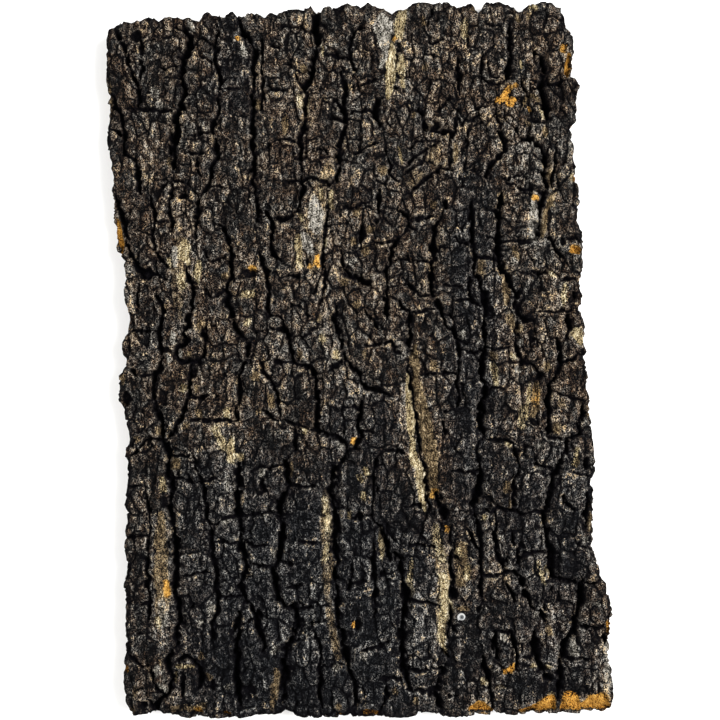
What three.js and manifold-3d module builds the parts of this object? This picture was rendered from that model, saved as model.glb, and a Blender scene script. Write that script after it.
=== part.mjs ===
// A flattened panel of virgin cork bark, lying on its sawn back, with an empty
// snail shell lodged on it. Millimetres: x runs across the panel, y along the
// way the bark grew on the trunk, and z out of the bark from the flat back.

import * as THREE from 'three';
import Module from 'manifold-3d';

const wasm = await Module();
wasm.setup();

// Driving dimensions

const THICKNESS = 26; // flat back to the highest crest
const CREST = 22.6; // usual height of the plates between the furrows
const EDGE_DROP = 3.2; // how far the crumbled rim lies below the plates
const LEAST_RIM = 9; // the rim's lowest place above the back
const LEAST_FURROW_DEPTH = 1.2; // of a crack that has only just opened
const DEPTH_PER_WIDTH = 2.4;
const MAX_FURROW_DEPTH = 12.5;
const SHOULDER = 0.9; // from a furrow's wall to the top of the plate
const WALL_SHARE = 0.75; // of the way from a plate's edge to the furrow's middle
const POCKET_LIP = 1.25; // where a pocket's wall starts, in its half widths
const POCKET_WALL = 0.8; // how much of that the wall takes
const BROAD_SWELL = 1.1; // height of the swells that the trunk left
const NARROW_SWELL = 0.6;
const PLATE_RISE = 1.2; // how far the plates stand above or below each other
const PLATE_SIZE = 17;
const LUMP_RISE = 0.7;
const LUMP_SIZE = 8;

const FURROW_STEP = 7.2; // distance between stations along a furrow
const PLATE_STEP = 10.5; // distance between points on the plates
const PLATE_SCATTER = 0.22; // how far those points stray, in steps
const RIM_CLEARANCE = 2; // least distance from the rim to another point
const FLOOR_CLEARANCE = 2.4;
const WALL_CLEARANCE = 1.5;
const POCKET_CLEARANCE = 2.1;
const PLATE_CLEARANCE = 4.6;
const POCKET_POINTS = 6; // round each pocket
const SHELF_POINTS = 10; // round the shelf under the shell

const SHELL_PLACE = [65, -164.5]; // middle of the snail shell on the panel
const SHELL_RADIUS = 3.05;
const SHELL_TURNS = 2.75;
const SHELL_GAP = 0.3; // clear of the bark that it lies on
const SHELF_RADIUS = SHELL_RADIUS + 0.9; // level bark under the shell
const SHELF_REACH = SHELL_RADIUS + 3; // where the bark is as if no shell were there
const SHELF_HEIGHT = CREST - 2.2;

// The panel's outline, as x, y pairs. It is sawn to 12 by 18 inches, and the
// brittle bark has broken back from the saw line all round.

const TOP_EDGE = [
  -160.6, 211.6, -158, 213, -155, 214, -152, 216, -149, 216.5, -145, 216, -141, 216, -138, 218,
  -135, 219.5, -132, 219, -129, 216.5, -125, 218, -119, 219.5, -115, 219, -110, 218, -106, 216,
  -103, 216, -101, 221, -97, 221.8, -94, 219, -91, 220.5, -88, 219, -85, 221, -82, 222,
  -79.5, 219.5, -74, 220, -69, 221.5, -65, 220.5, -61, 217, -58, 220.5, -54, 222, -49, 222.5,
  -46, 224, -43, 224.5, -38, 224, -34, 226.5, -31, 225.5, -29, 223.5, -26, 222.5, -24, 224.5,
  -20, 225, -13, 226, -10, 228, -7, 227, -2, 226.5, 2, 225, 4, 228, 8, 226.5, 14, 225,
  17, 222, 20, 221, 24, 222.5, 29, 224, 33, 227, 37, 229, 42, 229, 46, 227.5, 50, 229,
  56, 229.5, 59.5, 226.8, 62, 224.8, 66, 226, 72, 227.3, 75.5, 222, 78, 224.5, 81, 227.7,
  85, 227.7, 89, 229.5, 95, 227.7, 99, 224.8, 100.4, 221.8, 103.3, 222.3, 106, 225.2,
  110, 227.3, 116, 228.5, 122.5, 227.7, 125, 226, 128.3, 224.8,
];
const RIGHT_EDGE = [
  130, 220.2, 132, 211.8, 135, 210.2, 136.3, 206.8, 136.7, 201, 137, 196, 135.4, 191,
  135.8, 184.3, 134.6, 181, 138.3, 180.6, 140, 174.3, 138.3, 167.7, 138.3, 159.3, 137.5, 151.8,
  134.6, 149, 135, 142.7, 135.8, 132.7, 135, 129.8, 137.5, 123.5, 136.7, 118.5, 138, 115,
  140, 111, 140, 104.3, 140, 97.7, 139.2, 93.5, 138.3, 89.3, 140, 86, 142, 82.7, 142.9, 79.3,
  141.7, 72.7, 142, 69.3, 141.7, 66, 142.5, 61, 141.3, 55.2, 140, 51, 140, 46, 141.7, 41,
  142, 36.8, 140.4, 32.7, 142, 26.8, 143.3, 22.7, 143.3, 12.7, 144.2, 7.7, 143.8, -0.7,
  145, -6.5, 145.4, -12.3, 144.7, -18.5, 146.3, -23.2, 146.3, -30.7, 147.9, -38.2,
  147.9, -47.3, 149.2, -55.7, 149.8, -64, 149.8, -71.5, 147.9, -76.5, 147, -80.4, 149.3, -82.7,
  149.2, -89, 149.2, -101.5, 148.8, -108.2, 147.9, -112.3, 148.8, -117.3, 148.8, -121.5,
  150.2, -124.8, 152.5, -133.2, 154.6, -139.6, 157, -143, 158, -149.7, 160.4, -158.2,
  161.2, -163.5, 160, -168.2, 160, -171.2, 159.2, -175.2, 157.3, -178.2, 158.5, -181.6,
  157.7, -185.8, 158.8, -191.2, 160, -199, 161.3, -205.8, 162.5, -212.8, 161.9, -216.6,
];
const BOTTOM_EDGE = [
  160.8, -222.8, 158, -224.3, 152.7, -224.7, 145, -224.2, 137.3, -224.7, 129.6, -224.7,
  123.5, -225.7, 114.2, -225.7, 106.5, -226, 100.4, -227.2, 94.2, -226.8, 88.8, -225.2,
  83.5, -226.6, 77.3, -227, 71.2, -227.5, 66.5, -228.3, 60.4, -229, 55, -228.3, 49.6, -226.6,
  45, -225.5, 41.5, -224.7, 39.2, -225.5, 33.8, -228, 28.5, -229, 20, -229.3, 13, -228.3,
  5.4, -228.5, -0.8, -229, -6, -228, -12.3, -228.5, -17, -229, -23, -228.3, -30, -228.5,
  -37, -228.5, -40, -227.8, -43.8, -225, -46.9, -223.7, -50, -225.5, -55.4, -226.2,
  -59.3, -226, -67.8, -226.2, -72.4, -227.5, -76.2, -228.8, -80, -228, -85.5, -228.9,
  -89.3, -229.5, -93.9, -229.3, -97, -228, -100.8, -227.2, -105.5, -227.4, -109.3, -228.5,
  -113.2, -228.5, -117, -226.8, -120.8, -226, -127, -226.2, -133.9, -225.7, -138.5, -226.2,
  -145, -227.5,
];
const LEFT_EDGE = [
  -146.8, -225, -147.8, -221.2, -150, -218.5, -149.7, -214.3, -151, -206.6, -150.2, -199,
  -150.5, -193.5, -149.3, -188, -149.9, -182.8, -149.2, -178.9, -149.5, -171.2, -149, -160.5,
  -149.7, -152.8, -150.5, -145, -150.5, -140.5, -149, -134, -149, -125.7, -150.3, -119.8,
  -149.5, -114, -150.3, -109.8, -149, -105.7, -148.8, -96.5, -150, -93.2, -149.5, -89,
  -148.7, -80.7, -147.8, -75.7, -148.7, -67.3, -150, -61.5, -149, -54.8, -147, -51.5,
  -147.4, -47.3, -149, -40.7, -150.3, -34.8, -150, -31.5, -152, -29.8, -154, -26.5,
  -154.5, -22.3, -153.3, -18.5, -153.7, -14.8, -153.7, -9.8, -152, -7.3, -149, -4, -149, -1.5,
  -151.2, 3.5, -152, 8.5, -150.8, 12.7, -148.3, 17.7, -147, 22.7, -147.4, 28.5, -149, 35,
  -150, 40.2, -150.3, 45.2, -149.5, 51, -150, 56, -150.8, 61.8, -152, 66, -154.5, 69.3,
  -155.5, 75, -156, 80, -156.6, 89.3, -157, 93.5, -157.4, 102, -158.5, 110.2, -156.6, 112.7,
  -157, 118.5, -158.7, 122.7, -158.3, 127.7, -160, 130.2, -160.8, 135.2, -162.5, 140.2,
  -161.6, 144.3, -161.6, 147.7, -160, 153.5, -160.3, 160, -161.2, 166, -160, 169.3,
  -160.8, 172.7, -162.3, 181, -161.6, 191, -161.8, 203.5,
];

// Deep furrows between the ridges, where the growing trunk tore the bark open.
// Each is a width and then the x, y pairs of its floor.

const FURROWS = [
  [3, -157.4, 208.5, -152, 202.7, -149.5, 197.7, -148.7, 191, -147, 184.3, -143.7, 179.3,
    -142, 172.7, -141.6, 166.8, -142.8, 161.8],
  [2.5, -140, 205, -139.5, 194.3, -140.3, 181, -142.5, 176],
  [2.6, -157.8, 169.3, -157, 161.8, -152, 154.3, -151.2, 146.8, -151.6, 139.3, -150.8, 131.8,
    -144.5, 128.9, -142.4, 122.7, -142, 114.3, -141.2, 106],
  [3, -159.5, 148, -157, 147, -153, 144],
  [3, -156.6, 108, -154.5, 97.7, -152.4, 91, -150, 85.2, -149, 79.3, -149.2, 72.7, -146.2, 66,
    -143.7, 60.2, -139.5, 56.8, -134, 55, -123.7, 51.8],
  [4.5, -117, 213.5, -112.8, 211, -109.5, 206, -108.7, 199.3, -110.5, 196, -114.5, 193.5,
    -113.7, 189.3, -113.3, 181, -112.4, 174.3, -113.7, 166.8, -117, 161, -118.3, 156,
    -117.4, 147.7, -118.3, 141, -119.5, 134.3, -118.7, 129.3, -119.9, 122.7],
  [3.2, -130.3, 42.7, -127.8, 36.8, -125.8, 31, -127, 22.7, -128.7, 18.5, -127.5, 12,
    -127.8, 0.2, -129, -5.7, -132, -10.7, -132.8, -18.2, -131.6, -24.8, -131.2, -32.3,
    -128.7, -36.5, -126.2, -41.5, -125.8, -47.3, -126.2, -51.5],
  [2.6, -147, -61.5, -142, -56.5, -139.5, -53.2, -135.3, -51.5, -130.3, -50.7, -126.2, -51.5],
  [4, -126.2, -51.5, -124.5, -54.8, -121.6, -59.8, -122.8, -65.7, -123.7, -72.3, -122, -79,
    -119.5, -84.8, -120.5, -90, -121.6, -95.7, -120.8, -102.3, -119.5, -108.2, -117.8, -114.8,
    -117, -119, -118, -126, -117.8, -133.5, -118.5, -145, -117.8, -152.8, -116.2, -158.9,
    -116.2, -165, -117, -172.8, -117.8, -180.5, -120.8, -187.4, -123.2, -192, -123.2, -197.4,
    -120.8, -202, -120.8, -210.5, -124.7, -215.5, -130, -221.5, -138, -222],
  [3.2, -133.2, -196, -133.2, -201.2, -131.6, -206.6, -128.5, -212, -125, -215.5],
  [2.5, -102.8, 103, -104.5, 95.2, -105.3, 86.8, -105, 78.5],
  [3.2, -110.3, 56.8, -108.7, 49.3, -107.4, 42.7, -107.8, 34.3, -109.5, 26, -110.5, 21.8,
    -113.7, 18.5, -112, 13.5, -114, 9, -117, 7.7, -117.8, 3.5, -115.3, -1.5, -108.7, -2,
    -108.7, -9, -110, -20.7, -110.3, -24.8, -112, -30.7, -113.7, -35.7, -117, -41.5,
    -118.7, -45.7, -123, -51],
  [3, -97.8, 23.5, -98.7, 20.2, -99.5, 14.3, -99.5, 7.7, -100.3, 1.8, -104, -1.5, -108.7, -2],
  [2.6, -107, -60.7, -106.2, -65.7, -103.7, -71.5, -101.2, -78.2, -99.5, -84.8, -98.7, -93.2,
    -97.4, -99, -96.2, -104.8, -94.9, -112.3, -94.1, -119, -94.5, -126.5, -92, -134,
    -91.6, -142, -91.2, -149, -90.8, -155, -90.8, -162, -94.7, -169, -95.5, -176],
  [3.4, -117.8, -193.5, -113.2, -191.6, -108.5, -192, -104.7, -194.3, -102.4, -197.4,
    -102.4, -202.8, -103.2, -210.5],
  [2.6, -91.6, 214.3, -91.6, 197.7, -92.8, 190.2, -90.3, 184.3, -88.7, 177.7, -90.8, 169.3,
    -90.3, 161.8, -91.6, 156, -94.5, 151, -95.3, 146, -92.8, 140.2, -90.8, 134.3, -90.3, 130.2,
    -94.5, 124.3, -96, 117, -98.5, 110, -102.8, 103],
  [3.6, -89.5, 86.8, -86.2, 81.8, -84.5, 76.8, -83.7, 70.2, -82.8, 62, -82.8, 52.7,
    -85.3, 47.7, -85.8, 41, -84.9, 35.2, -82.8, 31, -81.2, 26, -79.5, 20.2, -77.5, 16.5,
    -73.5, 15.5],
  [4.2, -73.5, 15.5, -72.3, 9, -71.5, 1.8],
  [2.5, -71.5, 1.8, -75.3, -3.2, -76.2, -8.2, -77, -14, -77, -24, -78.7, -32.3, -79.5, -39],
  [3.8, -78.7, -65.7, -78.3, -72.3, -77.4, -80.7, -78.7, -86.5, -78.7, -94, -76.2, -100.7,
    -75.3, -108.2, -77.4, -114, -77, -119, -74.5, -124.8, -73.7, -132.3, -75.5, -138,
    -76.2, -145, -73.9, -151.2, -70, -157.4, -66.2, -162.8, -64.7, -169.7, -62.5, -176,
    -61.6, -187.4],
  [4.6, -78, -163, -78.5, -168.2, -78.5, -175.8, -78.5, -183.5, -78.5, -191.2, -79, -199,
    -79.3, -205, -78.5, -214.3, -76, -220],
  [3.8, -77.4, 215.2, -74.5, 210.2, -70.3, 204.3, -67.8, 199.3, -67.8, 191, -68.3, 181,
    -68.3, 174.3, -69, 167.7, -68.7, 158.5, -68.3, 149.3, -68.7, 141, -68.3, 132.7,
    -68.7, 123.5, -68.7, 115.2, -67, 107, -65.3, 99.3, -65.8, 92.7, -67, 86.8],
  [2.7, -64.5, 69, -62, 61, -59.9, 55.2, -58.7, 47.7, -59.1, 39.3, -58.7, 31, -57, 28.5],
  [3, -59.5, 95.2, -57.8, 91, -56.2, 85.2, -56.9, 78.5, -57, 71, -54.2, 66, -50.8, 64.3],
  [2.8, -57.8, 91, -49.2, 90.2, -44.2, 91.8, -40, 95.2, -38.3, 101, -37.2, 110, -37.9, 123.5],
  [3.4, -49, 24, -47.5, 17.7, -45, 12.7, -43.8, 6, -43.3, 0.2, -37.5, -3.2, -31.7, -4.8,
    -28.3, -9, -27.9, -14.8, -27.9, -22.3, -27.5, -30.7, -28.8, -39, -25.8, -44.8,
    -21.7, -47.3, -17.5, -48.6, -12.5, -49.8, -9.2, -54, -8.3, -59, -10, -63, -13.3, -67.3],
  [4.7, -13.3, -67.3, -16.7, -69.8, -18.3, -75.7, -18.8, -84.8, -17.5, -93.2, -15.4, -100.7,
    -14.6, -107.3, -15.8, -114, -15.4, -120.7, -14.6, -126.5, -16, -135, -15.5, -141,
    -14.6, -145, -14.6, -152.8, -14.6, -160.5, -13.8, -168.2, -11.5, -175.8, -10, -183.5,
    -9.2, -189.7, -7.7, -195.8, -5.4, -202, -3.8, -209.7, -3, -217.4, -4.6, -222.8],
  [2.6, -41.7, -41, -41.3, -49.8, -41.7, -57.3, -45.8, -61.5],
  [4.3, -45.8, -61.5, -47.5, -67.3, -47.1, -74, -45, -79.8, -47.5, -84.8, -50.8, -91.5,
    -51.7, -97.3, -50, -104, -49.6, -112.3, -50, -120.7, -52.5, -128.2, -55.2, -133.2,
    -55, -139, -53.8, -145, -51.5, -152.8, -48.5, -158.2],
  [5.6, -48.5, -158.2, -43.8, -158.8, -40.8, -162, -39.2, -168.2, -41.5, -174.3,
    -44.6, -180.5, -47.7, -186.6, -48.5, -193.5, -47.7, -200.5, -47.7, -208.2, -48.5, -215.8,
    -49.2, -221.2],
  [4.2, -26.7, 222.7, -28.8, 217.7, -28, 210.2, -27, 203.5, -28.3, 197.7, -29.6, 191,
    -30.8, 184.3, -33.3, 179.3, -35.4, 172.7],
  [3.7, -35.4, 153, -37.5, 145.2, -38.8, 138.5, -37.5, 131.8, -37.9, 123.5],
  [3.5, -15, 166, -11.7, 161.8, -8.3, 157.7, -8.8, 151.8, -10.8, 145.2, -12.5, 138.5,
    -13.3, 131, -12.9, 123.5, -15.5, 117, -18.3, 112.7],
  [2.5, -12, 186.8, -10.8, 181, -9.2, 173.5, -9.6, 167, -11.7, 161.8],
  [2.6, -21.7, 195.2, -16.7, 196, -13.3, 194.8, -8.3, 195.2],
  [4.2, -10.8, 58.5, -5.8, 54.3, 0, 51, 5.8, 49.3],
  [3.2, 1.7, 86, 1.3, 78.5, 0.8, 72.7],
  [3.3, -14.6, 35.2, -15.8, 26, -13.5, 20, -12.3, 13, -11.5, 8, -9.2, 1, -4.2, -5.7, 0, -9.8,
    1.7, -14.8, 5.8, -18.2, 11.7, -19.8, 18.3, -21.5],
  [2.6, -9.2, 1, -13.3, -2.3, -18.3, -6.5, -24.2, -8.2, -28.3, -9],
  [3.8, 1.7, -26.5, 0.8, -32.3, -0.8, -39, -1.3, -43.2, 1, -46.5, 0, -50.7, -3, -55.5,
    -8.3, -58],
  [3.2, 13.3, -59.4, 10.8, -61.5, 10, -68.2, 9.2, -76.5, 8.8, -84.8, 7.9, -93.2, 6.7, -98.2,
    10.8, -104, 15, -108.2],
  [4.2, 15, -108.2, 16.7, -114, 18.3, -120.7, 19.2, -128.2],
  [2.8, -5.8, -101, 0, -99.8, 6.7, -98.8],
  [2.7, 9.2, -118, 9.2, -133.5, 9.6, -145, 10, -154.3, 9.6, -165],
  [2.5, 12.3, -137.4, 17.7, -136.6],
  [3, 16.5, -210, 17, -217.4, 13.8, -223.5],
  [3, 14.2, 168.5, 10.8, 165.2, 10, 160.2, 10.8, 156, 12.5, 151.8],
  [2.9, 14, 112, 12, 107, 11.7, 101, 12.1, 95.2, 10.8, 89.3, 10, 86],
  [3.2, 23.3, 96, 27, 94.5, 30.5, 91],
  [3.6, 27.5, 80, 23, 76, 20, 71, 20, 65.2, 19.5, 61, 16.5, 57, 17.5, 49.3, 16.7, 41.8,
    17.9, 32.7, 17.3, 26.8],
  [2.5, 25.5, 37, 27.5, 33.5, 31.7, 31],
  [5, 31.7, 30, 31.7, 21, 32.5, 15.2, 32.1, 9.3],
  [4.2, 49, -86, 50.8, -91.5, 53.3, -97.3, 54.6, -102.3],
  [3.2, 21, -123, 24.2, -125.7, 27, -128, 26.5, -133.2, 27, -141.2],
  [5, 27, -141.2, 29.2, -148.2, 30, -155, 28.5, -162, 27, -169.7, 27, -178.2, 27, -187.4,
    28.5, -195, 29.6, -202.8, 30.8, -209.7],
  [5, 51, -205, 48, -212, 50, -218, 52.7, -223],
  [3.5, 38.3, 161, 41.7, 151.8, 45, 147.7, 51.7, 146.8, 58, 146],
  [3, 31.7, 106.8, 38.3, 111.8, 42.5, 116.8, 48.3, 120.2, 52.5, 122.7, 58, 121.8],
  [3.9, 50.8, 90.2, 48.3, 86, 47.5, 78.5, 47.5, 70.2, 46.3, 61.8, 46.7, 52.7, 45.8, 44.3,
    47.5, 38.5, 51.7, 33.5, 53, 26.8, 55.8, 21.8],
  [2.7, 55.8, 21.8, 60, 19.3, 61.7, 14.3, 63.8, 7.7, 64.2, 2.7, 62.8, -2.3, 63.3, -8.2,
    62.1, -14.8, 62.9, -20, 62.9, -26.5, 60.8, -32],
  [2.6, 58.5, -158, 58.5, -164, 57, -170, 56.5, -176],
  [2.5, 69.2, -108.2, 72.5, -114.8, 75, -120.7],
  [3.3, 72, 101, 71.7, 91.8, 71.7, 82.7, 72.1, 74.3, 73.7, 66, 73.7, 59.3, 75.8, 52.7,
    78.3, 46, 80, 40.2, 80.4, 35.2, 79.2, 29.3, 79.6, 22.7, 80.4, 16, 80.8, 10.2],
  [4.7, 80.8, 10.2, 80, 3.5, 78.7, -1.5, 78.3, -7.3, 79.2, -14, 81.2, -19, 80, -24,
    77.9, -28.2, 77.1, -34.8, 77.9, -43.2, 79.8, -48.2],
  [6, 77.5, -70.7, 76.7, -77.3, 75, -84.8, 74.2, -91.5, 73.3, -96.5],
  [2.5, 73.3, -96.5, 76.7, -105.7, 77.1, -114, 77.5, -124, 77.9, -134.8, 77.8, -142,
    78, -154.3],
  [2.5, 86.7, 157.7, 90, 151, 90.8, 144.3, 92.5, 138.5, 93, 134, 90, 131.8, 85.8, 128.5,
    83.3, 123.5, 80.8, 116.8],
  [3.4, 90, 108, 90, 101, 90.4, 95.2, 88.3, 86.8, 88.3, 79.3, 88.8, 71, 89.2, 62.7,
    91.7, 56.8, 95, 52.7, 98.3, 46, 100, 40.2, 100, 34.3, 100.8, 28.5, 106, 25.5, 111.7, 26],
  [2.7, 100.8, 28.5, 99.2, 18.5, 100, 11.8, 100.8, 6, 103.3, -1.5, 108.3, -2.3, 111.7, -3.2,
    114.2, -9],
  [3.5, 95, 215.2, 95.4, 206, 95.8, 197.7, 96.7, 193.5, 95, 186.8, 95, 181.8, 91.7, 177.7],
  [2.4, 99, -56, 101, -62, 102.5, -69],
  [3.4, 101, -70, 98.3, -77.3, 99.2, -84.8, 99.6, -93.2, 99, -97],
  [2.5, 80.8, -95.7, 84.2, -97.3, 86.7, -94.8, 91.7, -95.3, 96, -96, 99.2, -97, 104.2, -99,
    110.8, -97.3, 115.8, -97.3, 119.2, -97.3],
  [2.8, 87, -98, 87.5, -109, 86, -112.3, 87.5, -122.3, 90, -129, 91.7, -135],
  [3, 98.3, -111, 98.3, -117.5],
  [2.8, 94.2, -143.5, 97.3, -149.7, 98.8, -155],
  [4, 105, -147.4, 108, -152.8, 110.4, -159],
  [4, 115.8, -160, 118, -166.5],
  [6, 111.5, -174, 112.7, -183.5, 114.2, -191.2, 116.5, -197.4, 118.8, -202.8, 123.5, -204.3],
  [4, 86.5, -174, 86.5, -183.5, 87.7, -191.2],
  [3.6, 79, -191, 81.2, -199, 82.7, -206.6, 83.5, -212.8],
  [2.5, 83.5, -212.8, 86.5, -222.8],
  [2.5, 98.5, -176, 99.5, -184, 100.4, -191.2, 101.2, -199],
  [4.6, 112.5, 197.7, 115.8, 195.2, 118.3, 187.7, 117.5, 181, 116.7, 174.3, 117.5, 167.7,
    119.2, 161.8, 120, 156],
  [3.4, 103, 143, 106.7, 141.8, 111.7, 140.2, 115.8, 136.8, 118.3, 131, 118.8, 123.5,
    118.3, 116.8, 119, 111, 117.5, 104, 115.4, 96, 114.6, 89.3, 113.3, 82.7, 112.5, 78.5],
  [3, 121, 79, 124.2, 72.7, 128.3, 69.3, 131.7, 65.2],
  [2.5, 110, 56.8, 114.2, 55.2, 119.2, 56],
  [3, 137, 48, 138.3, 39.3],
  [4.5, 133.8, 28, 134.4, 21, 133, 16],
  [3.2, 126.7, 13.5, 128.3, 6, 128.3, 0, 127.5, -5.7, 125, -10.7, 122, -16, 121, -24,
    121.7, -34.8, 121.7, -43.2, 120.8, -49.5],
  [2.5, 128.3, 0, 131.7, -0.7, 138.3, 0.6],
  [3.4, 142, -27, 143.3, -34, 139.8, -41.5, 140.8, -47.3, 138.3, -49, 133, -51],
  [3.7, 133, -51, 132.5, -54, 130.8, -60.7, 128.3, -67.3, 125.8, -72.3, 123.3, -80.7,
    121.7, -86.5, 120, -92, 119.2, -97.3],
  [2.6, 112.5, -67.3, 118.3, -68.2, 125.5, -70],
  [5, 119.2, -97.3, 118.8, -104, 120, -112.3, 121.7, -119.8, 122, -126.5, 122.9, -134.8,
    124.2, -140],
  [2.4, 130.8, -86.5, 130, -90.7, 133.3, -94, 137.5, -96.5],
  [3, 146.5, -86, 145.8, -93.2, 145, -101.5, 145.8, -107],
  [5, 141.5, -143, 142.7, -151.2, 142, -159, 138, -165.8, 137.3, -171.2, 136, -175.8,
    131.6, -180.5, 130.4, -187.4, 128.8, -195, 128.5, -202.8, 128, -210.5, 126.5, -217.5],
  [2.4, 156.5, -174, 156, -181],
];

// Narrow cracks that part the ridges into plates, listed as the furrows are.

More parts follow.
